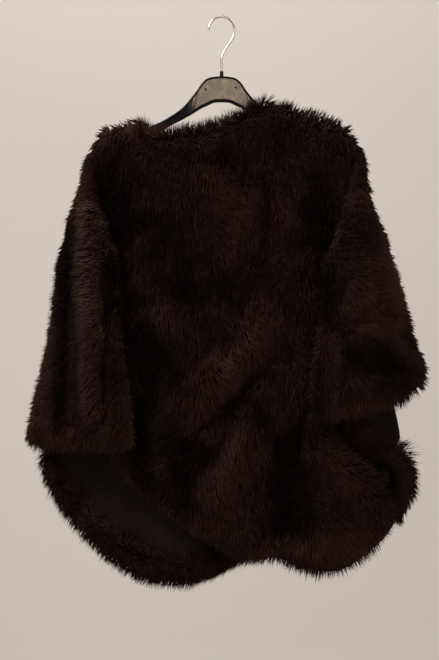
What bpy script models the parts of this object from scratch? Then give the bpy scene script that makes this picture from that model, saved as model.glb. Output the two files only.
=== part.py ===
# Long-haired fur poncho hanging on a plastic hanger. Metres, +Z up, front towards -Y.
# The origin is the inside top of the hanger's hook, where the whole thing hangs.
# Tables are in millimetres, in that frame. Left and right are as seen from the front.

import math

import bmesh
import bpy
from mathutils import Vector

MM = 0.001

# Fur and cloth
PILE = 14.0             # backing and laid pile together, in the middle of a panel
SLEEVE_WALL = 12.0      # the same on a sleeve, where the pile is pressed
EDGE_THICKNESS = 3.0    # what is left of the wall at the very edge of a hem
SEAM_GAP = 0.3          # between pieces sewn to each other
LINING_GAP = 0.4        # between the back panel and its lining
LINING_THICKNESS = 1.5
FACING_THICKNESS = 9.0
FACING_WIDTH = 36.0
STRIP_GAP = 2.0         # between the lining and the right-hand facing, which is cut up its own way
FACING_PROFILE = (0.2, 0.95, 1.0, 0.8, 0.35)    # thickness from its inner edge down to the hem
FACING_SHORT = 6        # columns at the back's right corner that the right-hand strip covers
ROUNDING = (0.0, 3.0, 8.0, 14.0)    # steps in from an edge over which the wall rounds off
PANEL_WIDTH = 430.0     # a panel's usual width and drop, which set those steps
PANEL_DROP = 620.0
SIDE_EASE = 10.0        # above and below the underarm, the side edge goes from sewn to rounded

# Hanger
ARM_HALF_DEPTH = 5.5
WEB_HALF_DEPTH = 3.2
EDGE_BREAK = 1.2        # the slope on the top corners of the arms
ARM_MIDDLE = -1.5       # x of the hanger's middle
WIRE_RADIUS = 1.9
HOOK_RADIUS = 21.3      # to the middle of the wire
WIRE_END = -88.0        # z of the wire's lower end, in the collar
WIRE_SECTIONS = 40
COLLAR_RADIUS = 3.2
COLLAR_TAPER = 0.6
COLLAR_SIDES = 16
SHOULDER_RADIUS = 9.0   # inside radius of the cloth as it goes over an arm
SHOULDER_LIFT = 2.8     # cloth above the flat top of an arm, at its middle
SHOULDER_WRAP = SHOULDER_RADIUS * math.pi / 2

# Hanger edges by distance from its middle, and the width of the rim along them
HANGER_EDGES = (
    # across, top, bottom, rim
    (0, -97, -139, 3.0),
    (13, -98, -140, 3.0),
    (24, -101, -145, 3.0),
    (33, -109, -149, 3.75),
    (41, -121, -154, 3.75),
    (49, -131, -159, 3.75),
    (58, -142, -164, 3.75),
    (67, -151, -169, 3.75),
    (81, -161, -176, 3.75),
    (102, -173, -188, 3.75),
    (126, -183, -199, 3.75),
    (160, -198, -213, 3.75),
    (185, -208, -223, 3.75),
    (199, -214, -228, 3.75),
    (205, -218, -225, 2.3),
)

# The hook's arc, in degrees from its right side, and the wire below it
HOOK_ARC = range(182, -10, -12)
HOOK_SHANK = (
    # x, z
    (17.8, -31),
    (12.6, -40),
    (6.0, -50),
    (1.2, -58),
    (-1.3, -66),
    (ARM_MIDDLE, -76),
    (ARM_MIDDLE, WIRE_END),
)

# Outline of the garment's top, on the fur: left shoulder, boat neck, right shoulder
TOP_LINE = (
    # x, z
    (-210, -203),
    (-202, -189),
    (-179, -174),
    (-156, -170),
    (-136, -176),
    (-121, -186),
    (-95, -197),
    (-70, -195),
    (-21, -188),
    (21, -172),
    (45, -158),
    (65, -146),
    (83, -140),
    (128, -150),
    (177, -164),
    (201, -180),
    (209, -194),
)
NECK_LEFT = (-150, -118)    # the shoulder seam ends and the neck edge begins between these
NECK_RIGHT = (58, 84)
BACK_NECK_DROP = 6.0        # how much lower the back neck edge lies

# Armholes are straight from shoulder to underarm, then the side seams begin
SHOULDER_LEFT = (-210, -224)
UNDERARM_LEFT = (-180, -391)
SHOULDER_RIGHT = (209, -224)
UNDERARM_RIGHT = (176, -391)

SIDE_LEFT = (
    # x, z
    UNDERARM_LEFT,
    (-176, -440),
    (-180, -500),
    (-202, -560),
    (-248, -627),
)
SIDE_RIGHT_FRONT = (
    # x, z
    UNDERARM_RIGHT,
    (171, -440),
    (174, -500),
    (194, -560),
    (192, -615),
    (181, -660),
    (197, -698),
    (224, -721),
    (247, -741),
    (268, -761),
    (285, -785),
    (293, -822),
)
SIDE_LEFT_BACK = SIDE_LEFT[:-1] + (
    # x, z
    (-256, -634),
    (-287, -683),
    (-301, -721),
)
SIDE_RIGHT_BACK = (
    # x, z
    UNDERARM_RIGHT,
    (171, -440),
    (174, -500),
    (214, -575),
    (262, -630),
    (276, -668),
    (287, -698),
    (312, -714),
    (323, -757),
    (306, -797),
    (278, -845),
)
HEM_FRONT = (
    # x, z
    (-248, -627),
    (-219, -672),
    (-194, -701),
    (-174, -724),
    (-158, -753),
    (-134, -779),
    (-103, -803),
    (-75, -823),
    (-49, -840),
    (-12, -863),
    (29, -888),
    (65, -890),
    (95, -896),
    (128, -910),
    (169, -917),
    (202, -911),
    (235, -889),
    (268, -861),
    (293, -822),
)
HEM_BACK = (
    # x, z
    (-301, -721),
    (-291, -766),
    (-266, -813),
    (-227, -861),
    (-186, -898),
    (-153, -921),
    (-120, -935),
    (-62, -940),
    (-12, -927),
    (29, -906),
    (128, -886),
    (210, -872),
    (278, -845),
)

# Depth of the hollow by height, and where it closes at each side
HOLLOW = (
    # z, front half, back half, open at the armholes
    (-140, 9.0, 9.0, 8.85),
    (-235, 10.0, 10.0, 8.85),
    (-300, 18.0, 13.0, 8.0),
    (-350, 22.0, 15.0, 5.0),
    (-391, 25.0, 17.0, 0.0),
    (-600, 34.0, 21.0, 0.0),
    (-800, 40.0, 24.0, 0.0),
    (-960, 42.0, 22.0, 0.0),
)
HOLLOW_SIDES = (
    # z, left, right
    (-140, -213, 212),
    (-218, -210, 209),
    (-391, -180, 176),
    (-440, -176, 171),
    (-500, -180, 174),
    (-560, -203, 200),
    (-627, -250, 270),
    (-721, -325, 345),
    (-960, -335, 350),
)
HOLLOW_POWER = 2.5

# Folds: a ridge stands out from the body, a trough goes in
FOLDS_START = -225.0    # z where the cloth begins to hang free
FOLDS_EASE = 40.0
FOLDS_FRONT = (
    # x and z of one end, x and z of the other, half width, height
    (141, -262, 105, -376, 44, -9),
    (105, -376, 83, -440, 42, -7),
    (66, -500, -12, -589, 46, 8),
    (-12, -589, -84, -665, 42, 8),
    (42, -592, -28, -670, 34, -6),
    (100, -606, 40, -696, 44, 8),
    (40, -696, -6, -768, 42, 7),
    (104, -700, 98, -838, 44, -11),
    (200, -745, 172, -860, 50, 7),
    (-120, -350, -54, -441, 52, -6),
    (-70, -255, 40, -300, 55, 6),
    (-130, -470, -110, -640, 34, -5),
    (-120, -730, -40, -800, 38, 5),
)
FOLDS_BACK = (
    # x and z of one end, x and z of the other, half width, height
    (-90, -330, -130, -860, 50, 8),
    (10, -420, -10, -880, 44, -7),
    (100, -330, 150, -840, 52, 9),
    (-190, -560, -230, -800, 36, 6),
    (215, -640, 225, -800, 36, -5),
    (-30, -240, 60, -300, 55, 5),
)
FOLDS_LEFT_SLEEVE = (
    # x and z of one end, x and z of the other, half width, height
    (-236, -330, -232, -640, 26, 8),
    (-262, -420, -276, -660, 22, -6),
    (-205, -480, -200, -650, 22, -6),
    (-176, -560, -168, -680, 20, 6),
    (-290, -560, -306, -680, 22, 5),
)
FOLDS_RIGHT_SLEEVE = (
    # x and z of one end, x and z of the other, half width, height
    (222, -300, 262, -470, 26, 7),
    (230, -520, 300, -560, 26, 8),
    (196, -440, 176, -600, 24, -6),
    (250, -470, 320, -560, 20, -6),
    (210, -600, 300, -600, 20, 5),
)

# Sleeves: the two edges of the tube as it fans from the armhole to the cuff
SLEEVE_LEFT = (
    # share of the length, outer x, outer z, inner x, inner z
    (0.00, -214.7, -203, -180.7, -392),
    (0.06, -227, -222, -181.2, -400),
    (0.12, -233, -252, -179.2, -411),
    (0.20, -240, -290, -174, -428),
    (0.36, -260, -366, -170, -470),
    (0.52, -275, -449, -165, -523),
    (0.66, -285, -515, -158, -580),
    (0.80, -301, -589, -152, -633),
    (0.91, -316, -655, -147, -674),
    (1.00, -326, -701, -143, -699),
)
SLEEVE_RIGHT = (
    # share of the length, outer x, outer z, inner x, inner z
    (0.00, 215.5, -194, 176.5, -392),
    (0.06, 225, -214, 177, -400),
    (0.12, 231, -244, 174.5, -410),
    (0.21, 240, -290, 169, -427),
    (0.38, 268, -366, 164, -466),
    (0.54, 288, -424, 158, -508),
    (0.70, 311, -498, 149, -558),
    (0.82, 325, -540, 144, -603),
    (0.92, 335, -567, 142, -636),
    (1.00, 339, -591, 142, -656),
)
SLEEVE_LENGTH = 480.0       # a sleeve's usual length, which sets the steps at its cuff
SLEEVE_HALF_DEPTH = 20.0
SLEEVE_ROUNDNESS = 2.6
SLEEVE_REST = 1.0           # between a sleeve's back and the front panel
CUFF_SAG = {"sleeve_left": 5.0, "sleeve_right": 20.0}   # the cuff hangs below its straight line
SAG_SHARPNESS = 4           # and how near the cuff this begins
SLEEVE_SETTLED = 0.25       # by this share of the length the tube lies in front of the body
SLEEVE_OUTER_DEPTH = -24.0  # y of the tube's middle at its outer edge

# The lining's own right edge, where it hangs out past the fur
LINING_RIGHT_EDGE = (
    # x, z
    (262, -604),
    (281, -630),
    (289, -665),
    (296, -703),
)
LINING_TOP = -585.0         # the lining shows from here down

# Fur facing of the back's right side, along its middle line
FACING_RIGHT = (
    # x, z
    (186, -676),
    (232, -696),
    (286, -730),
    (299, -770),
    (276, -828),
)

# How finely the surfaces are cut up
FRONT_COLUMNS = 26
FRONT_ROWS = 24
BACK_COLUMNS = 22
BACK_ROWS = 20
TOP_ROWS = 4
RING_POINTS = 28
SLEEVE_ROWS = 15
STRIP_SECTIONS = 18
STRIP_POINTS = 9
STRIP_STEP = 0.02       # share of a strip's length that gives its direction

FUR_COLOUR = (0.020, 0.011, 0.009)
LINING_COLOUR = (0.028, 0.014, 0.011)


def clear_scene():
    for thing in list(bpy.data.objects):
        bpy.data.objects.remove(thing)


def smoothstep(amount):
    amount = min(max(amount, 0.0), 1.0)
    return amount * amount * (3 - 2 * amount)


def look_up(table, at, column):
    """The value in a column of a table whose first column rises or falls, between its rows."""
    rows = sorted(table)
    if at <= rows[0][0]:
        return rows[0][column]
    for low, high in zip(rows, rows[1:]):
        if at <= high[0]:
            share = (at - low[0]) / (high[0] - low[0])
            return low[column] + share * (high[column] - low[column])
    return rows[-1][column]


def smooth_curve(points, steps=8):
    """Points along a smooth curve through the given ones."""
    points = [Vector(point) for point in points]
    ends = [2 * points[0] - points[1]] + points + [2 * points[-1] - points[-2]]
    curve = []
    for before, start, end, after in zip(ends, ends[1:], ends[2:], ends[3:]):
        for step in range(steps):
            t = step / steps
            bend = (end - before) * t + (2 * before - 5 * start + 4 * end - after) * t * t
            bend += (3 * start - before - 3 * end + after) * t ** 3
            curve.append(start + 0.5 * bend)
    curve.append(points[-1])
    return curve


class Line:
    """A curve that is read by the share of its length."""

    def __init__(self, points):
        self.points = [Vector(point) for point in points]
        self.along = [0.0]
        for start, end in zip(self.points, self.points[1:]):
            self.along.append(self.along[-1] + (end - start).length)

    def at(self, share):
        want = min(max(share, 0.0), 1.0) * self.along[-1]
        for index in range(1, len(self.points)):
            if want <= self.along[index] or index == len(self.points) - 1:
                stretch = self.along[index] - self.along[index - 1]
                part = (want - self.along[index - 1]) / stretch
                return self.points[index - 1].lerp(self.points[index], part)


def fold_height(folds, x, z):
    """How far the folds lift the cloth at this place."""
    total = 0.0
    place = Vector((x, z))
    for x0, z0, x1, z1, half_width, height in folds:
        start = Vector((x0, z0))
        line = Vector((x1, z1)) - start
        share = min(max((place - start).dot(line) / line.length_squared, 0.0), 1.0)
        away = (place - start - share * line).length / half_width
        if away < 1:
            total += height * (1 - away * away) ** 2
    return total


def hollow_depth(x, z, column):
    """Half of the hollow inside the garment, to the front or to the back."""
    left = look_up(HOLLOW_SIDES, z, 1)
    right = look_up(HOLLOW_SIDES, z, 2)
    across = abs(2 * (x - left) / (right - left) - 1)
    full = 1 - min(across, 1.0) ** HOLLOW_POWER
    at_edge = look_up(HOLLOW, z, 3)
    return SEAM_GAP / 2 + at_edge + (look_up(HOLLOW, z, column) - at_edge) * full


def fold_share(z):
    """Folds come in below the shoulders."""
    return smoothstep((FOLDS_START - z) / FOLDS_EASE)


def front_inside(x, z):
    return -hollow_depth(x, z, 1) - fold_share(z) * fold_height(FOLDS_FRONT, x, z)


def back_inside(x, z):
    return hollow_depth(x, z, 2) + fold_share(z) * fold_height(FOLDS_BACK, x, z)


def arm_top(x):
    return look_up(HANGER_EDGES, abs(x - ARM_MIDDLE), 1)


def on_shoulder(x):
    """1 where the cloth goes over the hanger's arm, 0 along the neck edge."""
    left = smoothstep((NECK_LEFT[1] - x) / (NECK_LEFT[1] - NECK_LEFT[0]))
    right = smoothstep((x - NECK_RIGHT[0]) / (NECK_RIGHT[1] - NECK_RIGHT[0]))
    return max(left, right)


def rounded(distance):
    """Share of the full thickness this far from a hem."""
    reach = ROUNDING[-1]
    inward = min(distance / reach, 1.0)
    return math.sqrt(max(1 - (1 - inward) ** 2, 0.0))


def shares(count, length):
    """Shares from 0 to 1 with the rounding's steps at both ends."""
    steps = [step / length for step in ROUNDING]
    inner = steps[-1]
    middle = [inner + (1 - 2 * inner) * i / (count + 1) for i in range(1, count + 1)]
    return steps + middle + [1 - step for step in reversed(steps)]


def panel(side, sides, hem, drop, columns, rows, inside):
    """Inner and outer points of the front (side -1) or the back (side 1)."""
    top = Line(smooth_curve(TOP_LINE))
    left, right = (Line(smooth_curve(points)) for points in sides)
    bottom = Line(smooth_curve(hem))
    across = shares(columns, PANEL_WIDTH)
    down = [0.0] + shares(rows, PANEL_DROP)[len(ROUNDING):]
    armholes = []
    for (top_x, top_z), (low_x, low_z) in (
        (SHOULDER_LEFT, UNDERARM_LEFT),
        (SHOULDER_RIGHT, UNDERARM_RIGHT),
    ):
        armholes.append((Vector((top_x, top_z)), Vector((low_x, low_z))))

    def edge(number, share):
        """The side edge of the panel: its straight armhole, then its seam and its free edge."""
        start, underarm = armholes[number]
        line = (left, right)[number]
        straight = (underarm - start).length
        want = share * (straight + line.along[-1])
        if want < straight:
            return start.lerp(underarm, want / straight)
        return line.at((want - straight) / line.along[-1])

    def start_of_drop(u):
        """Where a column leaves the shoulder or the neck edge and hangs straight down."""
        place = top.at(u)
        over = on_shoulder(place.x)
        shoulder = arm_top(place.x) + SHOULDER_LIFT - SHOULDER_RADIUS
        neck = place.y - drop
        return Vector((place.x, over * shoulder + (1 - over) * (neck - SHOULDER_WRAP)))

    corners = start_of_drop(0), start_of_drop(1), bottom.at(0), bottom.at(1)
    inner = []
    outer = []
    for k in range(TOP_ROWS - 1):
        wrapped = SHOULDER_WRAP * k / (TOP_ROWS - 1)
        inner_row = []
        outer_row = []
        for u in across:
            place = top.at(u)
            over = on_shoulder(place.x)
            arc = min(wrapped, over * SHOULDER_WRAP)
            straight = wrapped - arc
            turn = (1 - over) * math.pi / 2 + arc / SHOULDER_RADIUS
            centre_z = start_of_drop(u).y + (1 - over) * SHOULDER_WRAP
            depth = max(SHOULDER_RADIUS * math.sin(turn), SEAM_GAP / 2)
            height_there = centre_z + SHOULDER_RADIUS * math.cos(turn) - straight
            crown = max(place.y - (arm_top(place.x) + SHOULDER_LIFT), PILE)
            standing = crown + (PILE - crown) * smoothstep(k / (TOP_ROWS - 1))
            thick = over * standing + (1 - over) * PILE * rounded(wrapped)
            thick = max(thick, EDGE_THICKNESS)
            point = Vector((place.x, side * depth, height_there))
            inner_row.append(point)
            away = Vector((0, side * math.sin(turn), math.cos(turn)))
            outer_row.append(point + thick * away)
        inner.append(inner_row)
        outer.append(outer_row)
    for v in down:
        inner_row = []
        outer_row = []
        for u in across:
            start = start_of_drop(u)
            place = (1 - v) * start + v * bottom.at(u)
            place += (1 - u) * edge(0, v) + u * edge(1, v)
            place -= (1 - u) * ((1 - v) * corners[0] + v * corners[2])
            place -= u * ((1 - v) * corners[1] + v * corners[3])
            from_hem = (1 - v) * PANEL_DROP
            from_side = min(u, 1 - u) * PANEL_WIDTH
            loose = smoothstep((UNDERARM_LEFT[1] + SIDE_EASE - place.y) / (2 * SIDE_EASE))
            thick = PILE * rounded(from_hem)
            thick *= 1 - loose * (1 - rounded(from_side))
            thick = max(thick, EDGE_THICKNESS)
            depth = inside(place.x, place.y)
            inner_row.append(Vector((place.x, depth, place.y)))
            outer_row.append(Vector((place.x, depth + side * thick, place.y)))
        inner.append(inner_row)
        outer.append(outer_row)
    return inner, outer


def sleeve(table, folds, sag):
    """Inner and outer rings of a sleeve, from the armhole to the cuff."""
    outer_edge = smooth_curve([(row[0] * SLEEVE_LENGTH, row[1], row[2]) for row in table])
    inner_edge = smooth_curve([(row[0] * SLEEVE_LENGTH, row[3], row[4]) for row in table])
    rounded_from = 1 - ROUNDING[-1] / SLEEVE_LENGTH
    steps = [rounded_from * i / (SLEEVE_ROWS - 1) for i in range(SLEEVE_ROWS)]
    steps += [1 - step / SLEEVE_LENGTH for step in reversed(ROUNDING[:-1])]

    def edge_at(curve, share):
        want = share * SLEEVE_LENGTH
        for low, high in zip(curve, curve[1:]):
            if want <= high.x or high is curve[-1]:
                part = (want - low.x) / (high.x - low.x)
                return low.lerp(high, part).yz

    inner = []
    outer = []
    for step in steps:
        out = edge_at(outer_edge, step)
        fold = edge_at(inner_edge, step)
        middle = (out + fold) / 2
        chord = (fold - out) / 2
        half = chord.length
        chord.normalize()
        from_cuff = (1 - step) * SLEEVE_LENGTH
        settled = smoothstep(step / SLEEVE_SETTLED)
        wall = max(SLEEVE_WALL * rounded(from_cuff), EDGE_THICKNESS)
        pressed = SLEEVE_WALL - wall
        rest_in = front_inside(fold.x, fold.y) - PILE - SLEEVE_REST - SLEEVE_HALF_DEPTH
        inner_ring = []
        outer_ring = []
        for number in range(RING_POINTS):
            angle = 2 * math.pi * number / RING_POINTS
            c = math.cos(angle)
            s = math.sin(angle)
            x_share = math.copysign(abs(c) ** (2 / SLEEVE_ROUNDNESS), c)
            y_share = math.copysign(abs(s) ** (2 / SLEEVE_ROUNDNESS), s)
            points = []
            for half_length, half_depth in (
                (half - SLEEVE_WALL, SLEEVE_HALF_DEPTH - SLEEVE_WALL),
                (half - pressed, SLEEVE_HALF_DEPTH - pressed),
            ):
                place = middle + chord * half_length * x_share
                mix = (1 + half_length * x_share / half) / 2
                place.y -= sag * step ** SAG_SHARPNESS * math.sin(math.pi * math.sqrt(mix))
                tilt = SLEEVE_OUTER_DEPTH + (rest_in - SLEEVE_OUTER_DEPTH) * mix
                y = settled * tilt + half_depth * y_share
                if y_share < 0:
                    y -= settled * fold_height(folds, place.x, place.y) * -y_share
                points.append(Vector((place.x, y, place.y)))
            if settled > 0.5 and y_share > 0:
                inside_point, outside_point = points
                rest = front_inside(outside_point.x, outside_point.z) - PILE - SLEEVE_REST
                outside_point.y = min(outside_point.y, rest)
                rest = front_inside(inside_point.x, inside_point.z) - PILE - SLEEVE_REST
                inside_point.y = min(inside_point.y, rest - wall)
            inner_ring.append(points[0])
            outer_ring.append(points[1])
        inner.append(inner_ring)
        outer.append(outer_ring)
    return inner, outer


def closed_wall(name, inner, outer, looped, material):
    """One closed body between two matching grids of points, in millimetres."""
    rows = len(inner)
    columns = len(inner[0])
    mesh = bmesh.new()
    near, far = (
        [[mesh.verts.new(point * MM) for point in row] for row in grid] for grid in (inner, outer)
    )

    def two_triangles(a, b, c, d):
        mesh.faces.new((a, b, c))
        mesh.faces.new((a, c, d))

    around = columns if looped else columns - 1
    for i in range(rows - 1):
        for j in range(around):
            k = (j + 1) % columns
            for layer in (near, far):
                two_triangles(layer[i][j], layer[i][k], layer[i + 1][k], layer[i + 1][j])
    for i in (0, rows - 1):
        for j in range(around):
            k = (j + 1) % columns
            two_triangles(near[i][j], near[i][k], far[i][k], far[i][j])
    if not looped:
        for j in (0, columns - 1):
            for i in range(rows - 1):
                two_triangles(near[i][j], near[i + 1][j], far[i + 1][j], far[i][j])
    bmesh.ops.recalc_face_normals(mesh, faces=mesh.faces)
    return add_object(name, mesh, material)


def add_object(name, mesh, material):
    data = bpy.data.meshes.new(name)
    mesh.to_mesh(data)
    mesh.free()
    data.materials.append(material)
    thing = bpy.data.objects.new(name, data)
    bpy.context.scene.collection.objects.link(thing)
    return thing


def finish(name, colour, roughness, metallic=0.0):
    material = bpy.data.materials.new(name)
    material.use_nodes = True
    shader = material.node_tree.nodes["Principled BSDF"]
    shader.inputs["Base Color"].default_value = (*colour, 1)
    shader.inputs["Roughness"].default_value = roughness
    shader.inputs["Metallic"].default_value = metallic
    return material


def moved_in(grid, distance):
    """The same points, this far inside the back panel."""
    return [[point - Vector((0, distance, 0)) for point in row] for row in grid]


def back_lining(back_inner, material):
    """A thin wall on the inside of the back, made from the panel's own points."""
    edge_by_height = [(z, x) for x, z in LINING_RIGHT_EDGE]
    grid = []
    for row in back_inner:
        if row[len(row) // 2].z > LINING_TOP:
            continue
        end = row[-1]
        edge_x = look_up(edge_by_height, end.z, 1)
        beyond = Vector((max(edge_x, end.x + LINING_THICKNESS), end.y, end.z))
        grid.append(row[len(ROUNDING):] + [beyond])
    grid = grid[:-len(ROUNDING) + 1]
    near = moved_in(grid, LINING_GAP)
    far = moved_in(grid, LINING_GAP + LINING_THICKNESS)
    return closed_wall("back_lining", far, near, False, material)


def hem_facing(back_inner, material):
    """The fur turned in along the back's hem, lying on the lining."""
    base = LINING_GAP + LINING_THICKNESS + LINING_GAP
    rows = back_inner[-len(ROUNDING) - 1:]
    grid = [row[:-FACING_SHORT] for row in rows]
    far = []
    for row, share in zip(grid, FACING_PROFILE):
        far.append([point - Vector((0, base + share * FACING_THICKNESS, 0)) for point in row])
    return closed_wall("hem_facing_left", far, moved_in(grid, base), False, material)


def strip_sections(centre, width, thickness, material, name):
    """A rounded fur strip that lies inside the back, along a line."""
    line = Line(smooth_curve(centre))
    inner = []
    outer = []
    base = LINING_GAP + LINING_THICKNESS + STRIP_GAP
    for i in range(STRIP_SECTIONS):
        share = i / (STRIP_SECTIONS - 1)
        here = line.at(share)
        ahead = line.at(share + STRIP_STEP) - line.at(share - STRIP_STEP)
        sideways = Vector((-ahead.y, ahead.x)).normalized()
        end_share = rounded(min(share, 1 - share) * line.along[-1])
        inner_row = []
        outer_row = []
        for j in range(STRIP_POINTS):
            across = 2 * j / (STRIP_POINTS - 1) - 1
            place = here + sideways * across * width / 2
            height = max(thickness * math.sqrt(1 - across ** 2) * end_share, EDGE_THICKNESS / 2)
            lies_on = back_inside(place.x, place.y) - base
            outer_row.append(Vector((place.x, lies_on, place.y)))
            inner_row.append(Vector((place.x, lies_on - height, place.y)))
        inner.append(inner_row)
        outer.append(outer_row)
    return closed_wall(name, inner, outer, False, material)


def hanger_body(material):
    """The hanger's arms and middle plate: a web with a raised rim all round."""
    left_arm = [(-across, *edges) for across, *edges in reversed(HANGER_EDGES)]
    mesh = bmesh.new()
    sections = []
    for across, top, bottom, rim in left_arm + list(HANGER_EDGES[1:]):
        half = (
            (ARM_HALF_DEPTH - EDGE_BREAK, top),
            (ARM_HALF_DEPTH, top - EDGE_BREAK),
            (ARM_HALF_DEPTH, top - rim),
            (WEB_HALF_DEPTH, top - rim),
            (WEB_HALF_DEPTH, bottom + rim),
            (ARM_HALF_DEPTH, bottom + rim),
            (ARM_HALF_DEPTH, bottom),
        )
        ring = half + tuple((-y, z) for y, z in reversed(half))
        sections.append([mesh.verts.new(Vector((ARM_MIDDLE + across, y, z)) * MM) for y, z in ring])
    for one, two in zip(sections, sections[1:]):
        for j in range(len(one)):
            k = (j + 1) % len(one)
            mesh.faces.new((one[j], one[k], two[k], two[j]))
    mesh.faces.new(sections[0])
    mesh.faces.new(sections[-1])
    bmesh.ops.recalc_face_normals(mesh, faces=mesh.faces)
    bmesh.ops.triangulate(mesh, faces=mesh.faces)
    return add_object("hanger_body", mesh, material)


def hanger_hook(material):
    """The bent wire: from its tip over the top, back to the middle and down into the collar."""
    centre_z = WIRE_RADIUS - HOOK_RADIUS
    route = []
    for degrees in HOOK_ARC:
        angle = math.radians(degrees)
        x = ARM_MIDDLE + HOOK_RADIUS * math.cos(angle)
        route.append((x, centre_z + HOOK_RADIUS * math.sin(angle)))
    route = Line(smooth_curve(route + list(HOOK_SHANK), 3))
    curve = bpy.data.curves.new("hanger_hook", "CURVE")
    curve.dimensions = "3D"
    curve.bevel_depth = WIRE_RADIUS * MM
    curve.bevel_resolution = 2
    curve.use_fill_caps = True
    spline = curve.splines.new("POLY")
    spline.points.add(WIRE_SECTIONS - 1)
    for i, point in enumerate(spline.points):
        place = route.at(i / (WIRE_SECTIONS - 1))
        point.co = (place.x * MM, 0, place.y * MM, 1)
    curve.materials.append(material)
    thing = bpy.data.objects.new("hanger_hook", curve)
    bpy.context.scene.collection.objects.link(thing)
    return thing


def hanger_collar(material):
    """The small sleeve that the wire goes into, on top of the plate."""
    top = WIRE_END - SEAM_GAP
    bottom = HANGER_EDGES[0][1] + SEAM_GAP
    mesh = bmesh.new()
    bmesh.ops.create_cone(
        mesh,
        cap_ends=True,
        segments=COLLAR_SIDES,
        radius1=COLLAR_RADIUS * MM,
        radius2=(COLLAR_RADIUS - COLLAR_TAPER) * MM,
        depth=(top - bottom) * MM,
    )
    bmesh.ops.translate(mesh, verts=mesh.verts, vec=Vector((ARM_MIDDLE, 0, (top + bottom) / 2)) * MM)
    return add_object("hanger_collar", mesh, material)


def main():
    clear_scene()
    fur = finish("fur", FUR_COLOUR, 0.75)
    lining = finish("lining", LINING_COLOUR, 0.8)
    plastic = finish("black plastic", (0.012, 0.012, 0.013), 0.28)
    chrome = finish("chromed wire", (0.62, 0.62, 0.60), 0.22, 1.0)

    front_sides = (SIDE_LEFT, SIDE_RIGHT_FRONT)
    front = panel(-1, front_sides, HEM_FRONT, 0.0, FRONT_COLUMNS, FRONT_ROWS, front_inside)
    closed_wall("front_panel", *front, False, fur)
    back_sides = (SIDE_LEFT_BACK, SIDE_RIGHT_BACK)
    back = panel(1, back_sides, HEM_BACK, BACK_NECK_DROP, BACK_COLUMNS, BACK_ROWS, back_inside)
    closed_wall("back_panel", *back, False, fur)
    for name, table, folds in (
        ("sleeve_left", SLEEVE_LEFT, FOLDS_LEFT_SLEEVE),
        ("sleeve_right", SLEEVE_RIGHT, FOLDS_RIGHT_SLEEVE),
    ):
        closed_wall(name, *sleeve(table, folds, CUFF_SAG[name]), True, fur)
    back_lining(back[0], lining)
    hem_facing(back[0], fur)
    strip_sections(FACING_RIGHT, FACING_WIDTH, FACING_THICKNESS, fur, "hem_facing_right")
    hanger_body(plastic)
    hanger_hook(chrome)
    hanger_collar(plastic)


main()
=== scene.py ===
# %% [markdown]
# A fur poncho on a hanger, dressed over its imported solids.
# Long fur can't be one smooth surface: what the eye reads is thousands of bent hairs, all combed
# one way here and another way there. So each piece is made twice, as the real one is:
# a thin cloth that carries it, and the pile that stands on that cloth.
# Sizes are in millimetres, as a maker would write them, and become metres when a mesh is made.

# %% Load the solids
import math

import bmesh
import bpy
import numpy as np
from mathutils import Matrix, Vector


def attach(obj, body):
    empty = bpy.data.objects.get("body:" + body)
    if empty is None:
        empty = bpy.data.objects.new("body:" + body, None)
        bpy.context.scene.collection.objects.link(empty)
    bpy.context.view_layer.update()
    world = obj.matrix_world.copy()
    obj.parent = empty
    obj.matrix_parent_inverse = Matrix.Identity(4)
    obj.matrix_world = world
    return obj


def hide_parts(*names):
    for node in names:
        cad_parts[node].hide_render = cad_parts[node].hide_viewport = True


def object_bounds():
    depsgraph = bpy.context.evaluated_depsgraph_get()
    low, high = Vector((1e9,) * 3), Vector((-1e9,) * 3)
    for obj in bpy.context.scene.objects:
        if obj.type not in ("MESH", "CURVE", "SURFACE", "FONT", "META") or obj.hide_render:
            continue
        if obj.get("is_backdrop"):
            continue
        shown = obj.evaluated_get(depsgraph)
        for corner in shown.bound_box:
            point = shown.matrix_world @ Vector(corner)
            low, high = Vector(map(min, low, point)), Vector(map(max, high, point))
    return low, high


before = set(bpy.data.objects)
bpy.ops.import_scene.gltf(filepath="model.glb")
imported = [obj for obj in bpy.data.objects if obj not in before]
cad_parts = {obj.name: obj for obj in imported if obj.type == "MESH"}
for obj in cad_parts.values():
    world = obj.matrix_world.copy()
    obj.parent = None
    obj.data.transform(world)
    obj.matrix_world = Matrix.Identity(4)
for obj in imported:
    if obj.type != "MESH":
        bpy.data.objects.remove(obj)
solid_box = [list(corner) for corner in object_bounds()]
MM = 0.001
print("solids reach from", [round(v / MM) for v in solid_box[0]], "to", [round(v / MM) for v in solid_box[1]])

# %% [markdown]
# The camera comes first, because everything is judged through it. It looks straight at the
# garment, level with its middle, from a little over two metres.

# %% Camera
VIEW_HEIGHT = 1.089     # metres seen from top to bottom, at the garment
VIEW_DISTANCE = 2.2
VIEW_X = -0.005
VIEW_Z = -0.515
bpy.ops.object.camera_add(location=(VIEW_X, -VIEW_DISTANCE, VIEW_Z), rotation=(math.pi / 2, 0, 0))
camera = bpy.context.object
camera.data.sensor_fit = "VERTICAL"
camera.data.angle = 2 * math.atan(VIEW_HEIGHT / 2 / VIEW_DISTANCE)
bpy.context.scene.camera = camera
print("lens", round(camera.data.lens, 1), "mm")

# %% [markdown]
# Small helpers for what is done again and again: drawing out a mesh in edit mode, rounding its
# sharp edges, and joining the nodes of a finish.

# %% Helpers for meshes and finishes
def clear_selection():
    bpy.ops.object.select_all(action="DESELECT")


def extrude(x, y, z):
    """Draw out what is selected, by a move in metres."""
    bpy.ops.mesh.extrude_region_move(TRANSFORM_OT_translate={"value": (x, y, z)})


def turn_faces_out():
    bpy.ops.mesh.select_all(action="SELECT")
    bpy.ops.mesh.normals_make_consistent(inside=False)


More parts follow.
